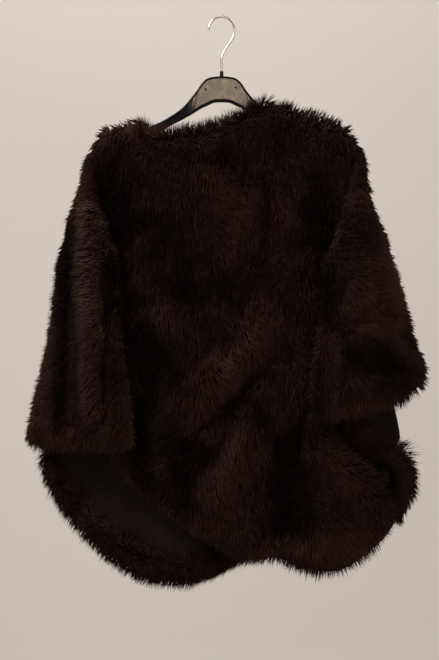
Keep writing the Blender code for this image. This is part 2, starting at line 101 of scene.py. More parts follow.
def round_sharp_edges(sharpness, offset):
    """Bevel the edges that turn by more than sharpness degrees. The offset is in millimetres."""
    bpy.ops.mesh.select_all(action="DESELECT")
    bpy.ops.mesh.select_mode(type="EDGE")
    bpy.ops.mesh.edges_select_sharp(sharpness=math.radians(sharpness))
    bpy.ops.mesh.bevel(offset=offset * MM, segments=3, affect="EDGES", clamp_overlap=True)


def leave_edit_smooth(angle):
    bpy.ops.object.mode_set(mode="OBJECT")
    bpy.ops.object.shade_smooth_by_angle(angle=math.radians(angle))


def start_finish(name, settings):
    """A material with its shader set, and the nodes and links to build on."""
    material = bpy.data.materials.new(name)
    material.use_nodes = True
    nodes, links = material.node_tree.nodes, material.node_tree.links
    shader = nodes["Principled BSDF"]
    for setting, value in settings.items():
        shader.inputs[setting].default_value = value
    return material, nodes, links, shader


def noise(nodes, links, scale, detail=2):
    """Noise over the object's own coordinates."""
    place = nodes.new("ShaderNodeTexCoord")
    texture = nodes.new("ShaderNodeTexNoise")
    texture.inputs["Scale"].default_value = scale
    texture.inputs["Detail"].default_value = detail
    links.new(place.outputs["Object"], texture.inputs["Vector"])
    return texture.outputs["Fac"]


def colours(nodes, links, value, *stops):
    """Colours that follow a value: each stop is a place from 0 to 1 and a colour."""
    ramp = nodes.new("ShaderNodeValToRGB")
    ends = ramp.color_ramp.elements[0], ramp.color_ramp.elements[1]
    for end, (place, colour) in zip(ends, (stops[0], stops[-1])):
        end.position = place
        end.color = (*colour, 1)
    for place, colour in stops[1:-1]:
        ramp.color_ramp.elements.new(place).color = (*colour, 1)
    links.new(value, ramp.inputs["Fac"])
    return ramp.outputs["Color"]


print("helpers are ready")

# %% [markdown]
# A studio sweep is a floor that curves up into a wall, with no line between them. It stands well
# behind the garment, so that every side of the garment can be seen in front of it. The room's
# own sizes are in metres.

# %% Floor and backdrop
FLOOR = -3.4
WALL = 4.2
BEND = 1.4
BEND_STEPS = 12
HALF_WIDTH = 9.0
NEAR_END = -7.0
WALL_HEIGHT = 5.0


def plain_finish(name, colour, roughness):
    """A material with one colour that drifts a little."""
    material, nodes, links, shader = start_finish(name, {"Roughness": roughness})
    drift = noise(nodes, links, 0.6)
    paint = colours(nodes, links, drift, (0, [part * 0.94 for part in colour]), (1, colour))
    links.new(paint, shader.inputs["Base Color"])
    return material


clear_selection()
bpy.ops.mesh.primitive_plane_add(size=1, location=(0, 0, 0))
sweep = bpy.context.object
sweep.name = "sweep"
bpy.ops.object.mode_set(mode="EDIT")
edit = bmesh.from_edit_mesh(sweep.data)
for corner in edit.verts:
    corner.co = (2 * HALF_WIDTH * corner.co.x, NEAR_END if corner.co.y < 0 else WALL - BEND, FLOOR)
for edge in edit.edges:
    edge.select = all(corner.co.y > 0 for corner in edge.verts)
bmesh.update_edit_mesh(sweep.data)
bpy.ops.mesh.select_mode(type="EDGE")
for step in range(BEND_STEPS):
    low = math.radians(90 / BEND_STEPS * step)
    high = math.radians(90 / BEND_STEPS * (step + 1))
    extrude(0, BEND * (math.sin(high) - math.sin(low)), BEND * (math.cos(low) - math.cos(high)))
extrude(0, 0, WALL_HEIGHT)
turn_faces_out()
bpy.ops.object.mode_set(mode="OBJECT")
bpy.ops.object.shade_smooth()
sweep.data.materials.append(plain_finish("pale paper", (0.90, 0.84, 0.78), 0.85))
sweep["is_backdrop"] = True
print("sweep has", len(sweep.data.polygons), "faces")

# %% [markdown]
# Soft window light from the upper left, and pale light from all round. The fur is nearly black,
# so its form shows mostly in the gloss of its hairs: the window has to be large and high.

# %% Light
world = bpy.data.worlds.new("pale room")
world.use_nodes = True
world.node_tree.nodes["Background"].inputs["Color"].default_value = (1.0, 0.965, 0.93, 1)
world.node_tree.nodes["Background"].inputs["Strength"].default_value = 0.29
bpy.context.scene.world = world
bpy.context.scene.view_settings.view_transform = "Standard"


def window(name, place, towards, size, power, colour):
    bpy.ops.object.light_add(type="AREA", location=place)
    light = bpy.context.object
    light.name = name
    light.data.shape = "DISK"
    light.data.size = size
    light.data.energy = power
    light.data.color = colour
    aim = np.array(towards, float) - np.array(place, float)
    yaw = math.atan2(-aim[0], aim[1])
    pitch = math.atan2(math.hypot(aim[0], aim[1]), -aim[2])
    light.rotation_euler = (pitch, 0, yaw)
    return light


window("window", (-1.7, -2.0, 1.5), (0.0, 0.0, -0.5), 1.3, 86, (0.96, 0.97, 1.0))
window("room", (2.4, -2.2, -0.2), (0.0, 0.0, -0.5), 2.0, 14, (1.0, 0.93, 0.86))
window("behind", (1.4, 2.0, 1.2), (0.0, 0.0, -0.5), 1.5, 34, (1.0, 0.97, 0.94))
window("wash", (-0.3, 1.7, 4.2), (0.0, 4.2, 1.0), 2.0, 84, (1.0, 0.96, 0.92))
window("softbox", (0.01, -3.0, 0.39), (0.0, 0.0, -0.12), 0.42, 5.0, (1.0, 0.76, 0.50))

# %% [markdown]
# The cut of the garment. The outlines follow the photo. They are the solids' own, apart from the
# left end of the top line and the upper part of the left sleeve's outer edge, which lie up to
# 9 mm further in. The garment hangs askew, so left and right differ. Each table has a row for a
# point or a section.

# %% Sizes of the cut
PILE = 14.0
SLEEVE_WALL = 12.0
CLOTH = 1.6
SEAM_GAP = 0.3
LINING_GAP = 0.4
SHOULDER_RADIUS = 9.0
SHOULDER_LIFT = 2.8
SHOULDER_WRAP = SHOULDER_RADIUS * math.pi / 2
TOP_SHARE = 0.024       # how much of a panel's rows go over the shoulder
RAISED = 0.75           # how much of the shoulders' crown is cloth that stands up
ARM_MIDDLE = -1.5
UNDERARM = -391.0
FOLDS_BELOW = -225.0    # the folds begin under this height
PANEL_WIDTH = 430.0     # about, for shares of a panel's width and length
PANEL_LENGTH = 620.0

HANGER_EDGES = (
    # across, top, bottom
    (0, -97, -139),
    (13, -98, -140),
    (24, -101, -145),
    (33, -109, -149),
    (41, -121, -154),
    (49, -131, -159),
    (58, -142, -164),
    (67, -151, -169),
    (81, -161, -176),
    (102, -173, -188),
    (126, -183, -199),
    (160, -198, -213),
    (185, -208, -223),
    (199, -214, -228),
    (205, -218, -225),
)
TOP_LINE = (
    # x, z
    (-208, -205),
    (-200, -191),
    (-179, -174),
    (-156, -170),
    (-136, -176),
    (-121, -186),
    (-95, -197),
    (-70, -195),
    (-21, -188),
    (21, -172),
    (45, -158),
    (65, -146),
    (83, -140),
    (128, -150),
    (177, -164),
    (201, -180),
    (209, -194),
)
NECK_LEFT = (-150, -118)
NECK_RIGHT = (58, 84)
BACK_NECK_DROP = 6.0
ARMHOLE_LEFT = ((-210, -224), (-180, -391))
ARMHOLE_RIGHT = ((209, -224), (176, -391))
SIDE_LEFT = ((-180, -391), (-176, -440), (-180, -500), (-202, -560), (-248, -627))
SIDE_RIGHT_FRONT = (
    # x, z
    (176, -391),
    (171, -440),
    (174, -500),
    (194, -560),
    (192, -615),
    (181, -660),
    (197, -698),
    (224, -721),
    (247, -741),
    (268, -761),
    (285, -785),
    (293, -822),
)
SIDE_LEFT_BACK = SIDE_LEFT[:-1] + ((-256, -634), (-287, -683), (-301, -721))
SIDE_RIGHT_BACK = (
    # x, z
    (176, -391),
    (171, -440),
    (174, -500),
    (214, -575),
    (262, -630),
    (276, -668),
    (287, -698),
    (312, -714),
    (323, -757),
    (306, -797),
    (278, -845),
)
HEM_FRONT = (
    # x, z
    (-248, -627),
    (-219, -672),
    (-194, -701),
    (-174, -724),
    (-158, -753),
    (-134, -779),
    (-103, -803),
    (-75, -823),
    (-49, -840),
    (-12, -863),
    (29, -888),
    (65, -890),
    (95, -896),
    (128, -910),
    (169, -917),
    (202, -911),
    (235, -889),
    (268, -861),
    (293, -822),
)
HEM_BACK = (
    # x, z
    (-301, -721),
    (-291, -766),
    (-266, -813),
    (-227, -861),
    (-186, -898),
    (-153, -921),
    (-120, -935),
    (-62, -940),
    (-12, -927),
    (29, -906),
    (128, -886),
    (210, -872),
    (278, -845),
)
HOLLOW = (
    # z, front half, back half, open at the armholes
    (-140, 9.0, 9.0, 8.85),
    (-235, 10.0, 10.0, 8.85),
    (-300, 18.0, 13.0, 8.0),
    (-350, 22.0, 15.0, 5.0),
    (-391, 25.0, 17.0, 0.0),
    (-600, 34.0, 21.0, 0.0),
    (-800, 40.0, 24.0, 0.0),
    (-960, 42.0, 22.0, 0.0),
)
HOLLOW_SIDES = (
    # z, left, right
    (-140, -213, 212),
    (-218, -210, 209),
    (-391, -180, 176),
    (-440, -176, 171),
    (-500, -180, 174),
    (-560, -203, 200),
    (-627, -250, 270),
    (-721, -325, 345),
    (-960, -335, 350),
)

# %% [markdown]
# Folds: a ridge stands out from the body, a trough goes in. The large ones are the solids' own,
# apart from the first three of the left sleeve, which lie up to 30 mm nearer the body here. The
# fine ones are creases that only show in the cloth and the lay of the pile.

# %% Folds
FOLDS_FRONT = (
    # x and z of one end, x and z of the other, half width, height
    (141, -262, 105, -376, 44, -9),
    (105, -376, 83, -440, 42, -7),
    (66, -500, -12, -589, 46, 8),
    (-12, -589, -84, -665, 42, 8),
    (42, -592, -28, -670, 34, -6),
    (100, -606, 40, -696, 44, 8),
    (40, -696, -6, -768, 42, 7),
    (104, -700, 98, -838, 44, -11),
    (200, -745, 172, -860, 50, 7),
    (-120, -350, -54, -441, 52, -6),
    (-70, -255, 40, -300, 55, 6),
    (-130, -470, -110, -640, 34, -5),
    (-120, -730, -40, -800, 38, 5),
)
FINE_FRONT = (
    # x and z of one end, x and z of the other, half width, height
    (20, -535, -52, -640, 24, -3),
    (44, -596, -30, -668, 30, -2),
    (-30, -668, -92, -690, 18, -5),
    (138, -590, 112, -640, 11, 5),
    (128, -648, 126, -720, 16, -5),
    (-60, -700, -100, -716, 22, -4),
    (-150, -300, -152, -420, 20, -4),
    (60, -240, 100, -330, 20, 4),
)
FOLDS_BACK = (
    # x and z of one end, x and z of the other, half width, height
    (-90, -330, -130, -860, 50, 8),
    (10, -420, -10, -880, 44, -7),
    (100, -330, 150, -840, 52, 9),
    (-190, -560, -230, -800, 36, 6),
    (215, -640, 225, -800, 36, -5),
    (-30, -240, 60, -300, 55, 5),
)
FINE_BACK = (
    # x and z of one end, x and z of the other, half width, height
    (60, -380, 70, -640, 20, -4),
    (-160, -420, -180, -640, 22, 4),
    (-60, -560, -40, -800, 18, -4),
    (180, -520, 205, -700, 20, 4),
)
FOLDS_LEFT_SLEEVE = (
    # x and z of one end, x and z of the other, half width, height
    (-211, -330, -206, -640, 19, 8),
    (-240, -400, -246, -660, 20, -6),
    (-186, -480, -182, -650, 20, -6),
    (-176, -560, -168, -680, 20, 6),
    (-290, -560, -306, -680, 22, 5),
)
FOLDS_RIGHT_SLEEVE = (
    # x and z of one end, x and z of the other, half width, height
    (222, -300, 262, -470, 26, 7),
    (230, -520, 300, -560, 26, 8),
    (196, -440, 176, -600, 24, -6),
    (250, -470, 320, -560, 20, -6),
    (210, -600, 300, -600, 20, 5),
)

# %% [markdown]
# Fur shows its form by the way its hairs catch the light, and where they lie against it the
# pile looks nearly black. These tables paint that light and shade into the hairs' colour: the
# painted highlights and the painted shade of the garment as it hangs.

# %% Painted highlights and shade
PAINTED_LIGHT_FRONT = (
    # x and z of one end, x and z of the other, half width, shade
    (200, -235, 176, -420, 17, 0.14),
    (-150, -180, -126, -216, 26, 0.24),
    (-30, -262, 20, -322, 40, 0.10),
    (118, -250, 122, -340, 24, 0.16),
    (96, -300, 92, -430, 26, 0.18),
    (66, -240, 62, -350, 17, -0.16),
    (0, -205, 30, -250, 36, -0.12),
    (-95, -255, -40, -240, 30, -0.10),
    (16, -337, 55, -360, 39, 0.08),
    (-95, -403, -90, -495, 34, 0.14),
    (65, -478, -37, -660, 43, 0.30),
    (30, -520, -20, -560, 16, 0.10),
    (39, -696, -14, -769, 47, 0.32),
    (-20, -790, 30, -812, 22, 0.14),
    (-92, -795, -40, -828, 26, 0.16),
    (150, -705, 196, -760, 22, 0.14),
    (65, -878, 260, -845, 40, 0.22),
    (95, -845, 140, -862, 26, 0.22),
    (-54, -815, 65, -881, 43, 0.2),
    (128, -221, 158, -191, 30, 0.12),
    (-177, -251, -166, -343, 47, -0.22),
    (-95, -345, -85, -425, 50, -0.16),
    (-150, -400, -132, -560, 26, -0.12),
    (-116, -500, -118, -740, 27, -0.26),
    (-70, -439, 16, -439, 39, -0.16),
    (-95, -640, -36, -705, 34, -0.20),
    (150, -277, 185, -432, 40, -0.24),
    (42, -594, -27, -670, 20, -0.18),
    (60, -630, 50, -700, 26, -0.16),
    (118, -640, 112, -704, 28, -0.18),
    (101, -700, 108, -805, 56, -0.30),
    (-93, -540, -77, -597, 34, -0.2),
    (-64, -721, -60, -795, 34, -0.22),
    (-136, -721, -120, -762, 30, -0.1),
)
PAINTED_LIGHT_BACK = (
    # x and z of one end, x and z of the other, half width, shade
    (-90, -330, -130, -860, 46, 0.2),
    (100, -330, 150, -840, 50, 0.2),
    (10, -420, -10, -880, 44, -0.2),
    (-30, -240, 60, -300, 60, 0.14),
    (-180, -400, -190, -620, 40, -0.16),
    (210, -560, 240, -760, 40, -0.14),
)
PAINTED_LIGHT_SLEEVES = {
    "left": (
        # x and z of one end, x and z of the other, half width, shade
        (-224, -250, -212, -330, 17, 0.26),
        (-209, -330, -206, -650, 18, 0.44),
        (-270, -440, -282, -663, 22, 0.36),
        (-241, -300, -244, -620, 18, -0.24),
        (-202, -465, -182, -548, 19, 0.12),
        (-268, -680, -169, -680, 26, 0.16),
        (-258, -403, -265, -465, 17, -0.18),
        (-212, -366, -205, -680, 13, -0.14),
        (-258, -606, -265, -663, 15, -0.16),
        (-182, -548, -169, -597, 26, -0.16),
        (-163, -383, -139, -680, 17, -0.26),
        (-196, -284, -189, -350, 26, -0.2),
    ),
    "right": (
        # x and z of one end, x and z of the other, half width, shade
        (190, -410, 240, -480, 50, 0.16),
        (264, -343, 272, -500, 19, 0.36),
        (176, -520, 172, -600, 17, 0.30),
        (250, -540, 290, -600, 30, -0.26),
        (177, -632, 293, -614, 22, 0.26),
        (242, -340, 262, -450, 20, 0.24),
        (268, -420, 312, -560, 9, 0.16),
        (292, -420, 330, -560, 12, -0.20),
        (174, -440, 172, -520, 20, 0.12),
        (148, -528, 134, -630, 15, 0.2),
        (220, -551, 250, -584, 39, -0.24),
        (187, -294, 224, -360, 39, -0.2),
        (293, -465, 313, -548, 21, -0.12),
        (187, -515, 202, -581, 26, -0.1),
        (172, -380, 168, -480, 34, -0.26),
        (150, -560, 146, -650, 18, -0.22),
    ),
}

# %% Sleeves and linings, by section
SLEEVE_LEFT = (
    # share of the length, outer x, outer z, inner x, inner z
    (0.00, -209, -205, -180.7, -392),
    (0.06, -218, -222, -181.2, -400),
    (0.12, -225, -252, -179.2, -411),
    (0.20, -237, -290, -174, -428),
    (0.36, -260, -366, -170, -470),
    (0.52, -275, -449, -165, -523),
    (0.66, -285, -515, -158, -580),
    (0.80, -301, -589, -152, -633),
    (0.91, -316, -655, -147, -674),
    (1.00, -326, -701, -143, -699),
)
SLEEVE_RIGHT = (
    # share of the length, outer x, outer z, inner x, inner z
    (0.00, 215.5, -194, 176.5, -392),
    (0.06, 225, -214, 177, -400),
    (0.12, 231, -244, 174.5, -410),
    (0.21, 240, -290, 169, -427),
    (0.38, 268, -366, 164, -466),
    (0.54, 288, -424, 158, -508),
    (0.70, 311, -498, 149, -558),
    (0.82, 325, -540, 144, -603),
    (0.92, 335, -567, 142, -636),
    (1.00, 339, -591, 142, -656),
)
SLEEVE_LENGTH = 480.0
SLEEVE_HALF_DEPTH = 20.0
SLEEVE_ROUNDNESS = 2.6
SLEEVE_REST = 1.0
CUFF_SAG = {"left": 5.0, "right": 20.0}
FRINGE = 5.5            # room for loose hairs past the outer fold
FOLD_SUNK = {-1: 0.7, 1: 1.0}   # how far the upper part presses into the front's pile,
FOLD_PRESS = 9.0                # as a share of this
SAG_SHARPNESS = 4
SLEEVE_SETTLED = 0.25
SLEEVE_OUTER_DEPTH = -24.0
LINING_RIGHT_EDGE = ((262, -604), (281, -630), (289, -665), (296, -703))
LINING_TOP = -585.0
FACING_RIGHT = ((186, -676), (232, -696), (286, -730), (299, -770), (276, -828))
FACING_WIDTH = 36.0

# %% [markdown]
# The garment's form is worked out, not drawn by eye: a panel is a sheet between four curves,
# pushed out by the hollow inside it and by its folds. The helpers take whole arrays of places,
# because the pile asks for the form at tens of thousands of roots.

# %% Helpers for the form
def unit(way):
    """The same directions, each with a length of one."""
    return way / np.maximum(np.linalg.norm(way, axis=-1, keepdims=True), 1e-9)


def ease(amount):
    amount = np.clip(amount, 0, 1)
    return amount * amount * (3 - 2 * amount)


def column(table, at, number):
    """A column of a table, read between its rows."""
    rows = np.array(sorted(table), float)
    return np.interp(at, rows[:, 0], rows[:, number])


def smooth_curve(points, steps=8):
    """Points along a smooth curve through the given ones."""
    points = np.array(points, float)
    ends = np.vstack([2 * points[0] - points[1], points, 2 * points[-1] - points[-2]])
    t = (np.arange(steps) / steps)[:, None]
    curve = []
    for before, start, end, after in zip(ends, ends[1:], ends[2:], ends[3:]):
        bend = (end - before) * t + (2 * before - 5 * start + 4 * end - after) * t * t
        curve.append(start + 0.5 * (bend + (3 * start - before - 3 * end + after) * t ** 3))
    return np.vstack([*curve, points[-1:]])


def along(points, share):
    """Places on a line, by the share of its length."""
    steps = np.linalg.norm(np.diff(points, axis=0), axis=1)
    length = np.concatenate([[0], np.cumsum(steps)])
    want = np.clip(share, 0, 1) * length[-1]
    return np.stack([np.interp(want, length, points[:, k]) for k in range(points.shape[1])], axis=-1)


def fold_height(folds, x, z):
    total = np.zeros(np.broadcast(x, z).shape)
    for x0, z0, x1, z1, half_width, height in folds:
        across, down = x1 - x0, z1 - z0
        share = np.clip(((x - x0) * across + (z - z0) * down) / (across ** 2 + down ** 2), 0, 1)
        away = np.hypot(x - x0 - share * across, z - z0 - share * down) / half_width
        total += np.where(away < 1, height * (1 - np.minimum(away, 1) ** 2) ** 2, 0)
    return total


def hollow_depth(x, z, number):
    left, right = column(HOLLOW_SIDES, z, 1), column(HOLLOW_SIDES, z, 2)
    across = np.abs(2 * (x - left) / (right - left) - 1)
    full = 1 - np.minimum(across, 1) ** 2.5
    at_edge = column(HOLLOW, z, 3)
    return SEAM_GAP / 2 + at_edge + (column(HOLLOW, z, number) - at_edge) * full


def inside(side, x, z, fine=True):
    """y of the cloth's inner face: side -1 is the front, 1 the back."""
    large, small = (FOLDS_FRONT, FINE_FRONT) if side < 0 else (FOLDS_BACK, FINE_BACK)
    depth = hollow_depth(x, z, 1 if side < 0 else 2)
    folds = fold_height(large, x, z) + (fold_height(small, x, z) if fine else 0)
    return side * (depth + ease((FOLDS_BELOW - z) / 40) * folds)


print("front inside at the middle", np.round(inside(-1, np.array([0.0]), np.array([-600.0])), 1))

# %% [markdown]
# The front and the back are each read by two shares: across from the left side to the right, and
# down from the shoulder to the hem.

# %% A panel's form
def on_shoulder(x):
    """1 where the cloth goes over the hanger's arm, 0 along the neck edge."""
    left = ease((NECK_LEFT[1] - x) / (NECK_LEFT[1] - NECK_LEFT[0]))
    right = ease((x - NECK_RIGHT[0]) / (NECK_RIGHT[1] - NECK_RIGHT[0]))
    return np.maximum(left, right)


class Panel:
    """The front (side -1) or the back (side 1), read by its share across and down."""

    def __init__(self, side):
        self.side = side
        self.drop = BACK_NECK_DROP if side > 0 else 0.0
        self.top = smooth_curve(TOP_LINE)
        left, right = (SIDE_LEFT, SIDE_RIGHT_FRONT) if side < 0 else (SIDE_LEFT_BACK, SIDE_RIGHT_BACK)
        self.left = np.vstack([np.array(ARMHOLE_LEFT, float)[:1], smooth_curve(left)])
        self.right = np.vstack([np.array(ARMHOLE_RIGHT, float)[:1], smooth_curve(right)])
        self.hem = smooth_curve(HEM_FRONT if side < 0 else HEM_BACK)
        self.rim = np.vstack([self.left[1:], self.hem, self.right[:0:-1]])

    def start(self, u):
        """Where a column leaves the shoulder or the neck edge and hangs straight down."""
        place = along(self.top, u)
        over = on_shoulder(place[..., 0])
        arm = column(HANGER_EDGES, np.abs(place[..., 0] - ARM_MIDDLE), 1)
        shoulder = arm + SHOULDER_LIFT - SHOULDER_RADIUS
        neck = place[..., 1] - self.drop - SHOULDER_WRAP
        return np.stack([place[..., 0], over * shoulder + (1 - over) * neck], axis=-1)

    def cloth(self, u, v):
        """Points on the inner face of the cloth. v below 0 goes over the shoulder."""
        start = self.start(u)
        corners = self.start(0.0), self.start(1.0), self.hem[0], self.hem[-1]
        down = np.clip(v, 0, 1)[..., None]
        across = np.asarray(u)[..., None]
        place = (1 - down) * start + down * along(self.hem, u)
        place = place + (1 - across) * along(self.left, down[..., 0])
        place = place + across * along(self.right, down[..., 0])
        place = place - (1 - across) * ((1 - down) * corners[0] + down * corners[2])
        place = place - across * ((1 - down) * corners[1] + down * corners[3])
        x, z = place[..., 0], place[..., 1]
        hanging = np.stack([x, inside(self.side, x, z), z], axis=-1)
        top = along(self.top, u)
        over = on_shoulder(top[..., 0])
        wrapped = SHOULDER_WRAP * np.clip(1 + v / TOP_SHARE, 0, 1)
        arc = np.minimum(wrapped, over * SHOULDER_WRAP)
        turn = (1 - over) * math.pi / 2 + arc / SHOULDER_RADIUS
        height = start[..., 1] + (1 - over) * SHOULDER_WRAP + SHOULDER_RADIUS * np.cos(turn) - (wrapped - arc)
        depth = np.maximum(SHOULDER_RADIUS * np.sin(turn), SEAM_GAP / 2)
        above = np.stack([top[..., 0], self.side * depth, height], axis=-1)
        points = np.where((v < 0)[..., None], above, hanging)
        points[..., 2] += RAISED * self.crown(u, v)
        return points

    def crown(self, u, v):
        """How much higher the fur stands on top of the shoulders than on the panel."""
        top = along(self.top, u)
        arm = column(HANGER_EDGES, np.abs(top[..., 0] - ARM_MIDDLE), 1)
        crown = np.maximum(top[..., 1] - (arm + SHOULDER_LIFT) - PILE, 0)
        return crown * on_shoulder(top[..., 0]) * (1 - ease((v + TOP_SHARE) / (2.5 * TOP_SHARE)))


front, back = Panel(-1), Panel(1)
middle = front.cloth(np.array([0.5]), np.array([0.5]))[0]
print("middle of the front is at", np.round(middle))

# %% A sleeve's form
class Sleeve:
    """A tube that fans out from the armhole to the cuff and lies in front of the body."""

    def __init__(self, name, table, folds):
        rows = [(row[0] * SLEEVE_LENGTH, *row[1:]) for row in table]
        self.outer = smooth_curve([(r[0], r[1], r[2]) for r in rows])
        self.inner = smooth_curve([(r[0], r[3], r[4]) for r in rows])
        self.folds = folds
        self.sag = CUFF_SAG[name]
        self.side = -1 if name == "left" else 1

    def cloth(self, turn, step):
        """Points on the inner face of the cloth: turn 0 is the fold under the arm."""
        at = step * SLEEVE_LENGTH
        out = np.stack([np.interp(at, self.outer[:, 0], self.outer[:, k]) for k in (1, 2)], axis=-1)
        fold = np.stack([np.interp(at, self.inner[:, 0], self.inner[:, k]) for k in (1, 2)], axis=-1)
        middle, chord = (out + fold) / 2, (fold - out) / 2
        half = np.linalg.norm(chord, axis=-1)
        chord = chord / half[..., None]
        settled = ease(step / SLEEVE_SETTLED)
        rest_in = inside(-1, fold[..., 0], fold[..., 1], False) - PILE - SLEEVE_REST - SLEEVE_HALF_DEPTH
        angle = 2 * math.pi * turn
        c, s = np.cos(angle), np.sin(angle)
        x_share = np.sign(c) * np.abs(c) ** (2 / SLEEVE_ROUNDNESS)
        y_share = np.sign(s) * np.abs(s) ** (2 / SLEEVE_ROUNDNESS)
        reach = half - SLEEVE_WALL
        fringe = FRINGE * np.clip(-x_share, 0, 1) ** 4
        place = middle + chord * (reach * x_share + fringe)[..., None]
        mix = np.clip((1 + reach * x_share / half) / 2, 0, 1)
        x = place[..., 0]
        z = place[..., 1] - self.sag * step ** SAG_SHARPNESS * np.sin(math.pi * np.sqrt(mix))
        sunk = FOLD_SUNK[self.side] * ease((mix - 0.35) / 0.65) * (1 - ease((step - 0.4) / 0.35))
        y = settled * (SLEEVE_OUTER_DEPTH + (rest_in - SLEEVE_OUTER_DEPTH) * mix + FOLD_PRESS * sunk)
        y = y + (SLEEVE_HALF_DEPTH - SLEEVE_WALL) * y_share * (1 - 0.8 * settled * sunk)
        y = y - np.where(y_share < 0, settled * fold_height(self.folds, x, z) * -y_share, 0)
        rest = inside(-1, x, z, False) - PILE - SLEEVE_REST - SLEEVE_WALL + FOLD_PRESS * sunk
        body = self.side * column(HOLLOW_SIDES, z, 1 if self.side < 0 else 2)
        on_body = ease((settled - 0.3) / 0.5) * ease((body + 20 - self.side * x) / 25)
        y = np.where(y_share > 0, y + on_body * (np.minimum(y, rest) - y), y)
        return np.stack([x, y, z], axis=-1)


sleeves = {
    "left": Sleeve("left", SLEEVE_LEFT, FOLDS_LEFT_SLEEVE),
    "right": Sleeve("right", SLEEVE_RIGHT, FOLDS_RIGHT_SLEEVE),
}
print("left cuff is at", np.round(sleeves["left"].cloth(np.array([0.5]), np.array([1.0]))[0]))

# %% [markdown]
# A cloth is a closed shell: the worked-out face, the same face moved by the cloth's thickness,
# and a strip round the edge. Its inside shows the smooth lining colour, its outside the knitted
# back that the hairs come out of.

# %% Helper for thin cloth
def face_normals(points, looped):
    """A unit direction out of the sheet at every point of a grid."""
    if looped:
        across = np.roll(points, -1, axis=1) - np.roll(points, 1, axis=1)
    else:
        across = np.gradient(points, axis=1)
    down = np.gradient(points, axis=0)
    return unit(np.cross(across, down))


def make_mesh(name, points, faces, smooth=True):
    """A mesh from arrays, in millimetres, with all faces of the same size."""
    mesh = bpy.data.meshes.new(name)
    mesh.vertices.add(len(points))
    mesh.vertices.foreach_set("co", (points * MM).astype(np.float32).ravel())
    corners = faces.shape[1]
    mesh.loops.add(faces.size)
    mesh.loops.foreach_set("vertex_index", faces.astype(np.int32).ravel())
    mesh.polygons.add(len(faces))
    mesh.polygons.foreach_set("loop_start", np.arange(len(faces), dtype=np.int32) * corners)
    mesh.polygons.foreach_set("use_smooth", np.full(len(faces), smooth))
    mesh.update(calc_edges=True)
    thing = bpy.data.objects.new(name, mesh)
    bpy.context.scene.collection.objects.link(thing)
    return thing


def thin_cloth(name, points, out_side, thickness, looped, outside, inner):
    """A closed thin shell. points are its inner face, and out_side says which way its outside is."""
    away = face_normals(points, looped) * out_side
    rows, columns = points.shape[:2]
    near = points.reshape(-1, 3)
    far = (points + away * thickness).reshape(-1, 3)
    index = np.arange(rows * columns).reshape(rows, columns)
    following = np.roll(index, -1, axis=1) if looped else index[:, 1:]
    these = index if looped else index[:, :-1]
    quads = np.stack([these[:-1], following[:-1], following[1:], these[1:]], axis=-1).reshape(-1, 4)
    shift = rows * columns
    parts = [quads, quads[:, ::-1] + shift]
    edges = [np.stack([these[0], following[0]], -1), np.stack([following[-1], these[-1]], -1)]
    if not looped:
        edges += [np.stack([index[1:, 0], index[:-1, 0]], -1), np.stack([index[:-1, -1], index[1:, -1]], -1)]
    for edge in edges:
        parts.append(np.stack([edge[:, 1], edge[:, 0], edge[:, 0] + shift, edge[:, 1] + shift], -1))
    thing = make_mesh(name, np.vstack([near, far]), np.vstack(parts))
    thing.data.materials.append(outside)
    thing.data.materials.append(inner)
    is_inner = np.zeros(len(thing.data.polygons), np.int32)
    is_inner[:len(quads)] = 1
    thing.data.polygons.foreach_set("material_index", is_inner)
    edit = bmesh.new()
    edit.from_mesh(thing.data)
    bmesh.ops.recalc_face_normals(edit, faces=edit.faces)
    edit.to_mesh(thing.data)
    area = sum(face.calc_area() for face in edit.faces) / 2
    edit.free()
    print(name, "cloth area", round(area, 3), "square metres,", 2 * len(thing.data.polygons), "triangles")
    return thing


# %% [markdown]
# The pile is made of fine locks of a few hairs. Each is a slim closed body with four corners: the
# root, two side by side where it bends, and the tip. Four triangles are enough for one, because
# it is the bend that gives it a thickness. Its colour is read from its own map: across is its
# shade, which carries painted light and shade as well as the hair's own tone, and up is from root to tip.

# %% Helper for hairs
def hairs(name, roots, bends, tips, sideways, widths, shades, material):
    """Many bent hairs as one mesh."""
    count = len(roots)
    half = sideways * (widths / 2)[:, None]
    points = np.stack([roots, bends + half, bends - half, tips], axis=1).reshape(-1, 3)
    pattern = np.array([(0, 2, 1), (3, 1, 2), (0, 1, 3), (0, 3, 2)])
    faces = (pattern[None] + 4 * np.arange(count)[:, None, None]).reshape(-1, 3)
    thing = make_mesh(name, points, faces)
    wide = np.array([0, 0.008, -0.008, 0])
    upward = np.array([0.02, 0.47, 0.43, 0.98])
    u = np.clip(shades, 0.02, 0.98)[:, None, None] + wide[pattern][None]
    v = np.broadcast_to(upward[pattern][None], u.shape)
    layer = thing.data.uv_layers.new(name="OFBake")
    layer.data.foreach_set("uv", np.stack([u, v], axis=-1).astype(np.float32).ravel())
    thing.data.materials.append(material)
    print(name, count, "hairs,", len(faces), "triangles")
    return thing


def wander(a, b, size, seed):
    """Soft noise from -1 to 1 over a surface."""
    values = np.random.default_rng(seed).uniform(-1, 1, (61, 61))
    pa, pb = a / size, b / size
    ia, ib = np.floor(pa).astype(int), np.floor(pb).astype(int)
    fa, fb = ease(pa - ia), ease(pb - ib)
    low = values[ia % 61, ib % 61] * (1 - fa) + values[(ia + 1) % 61, ib % 61] * fa
    high = values[ia % 61, (ib + 1) % 61] * (1 - fa) + values[(ia + 1) % 61, (ib + 1) % 61] * fa
    return low * (1 - fb) + high * fb


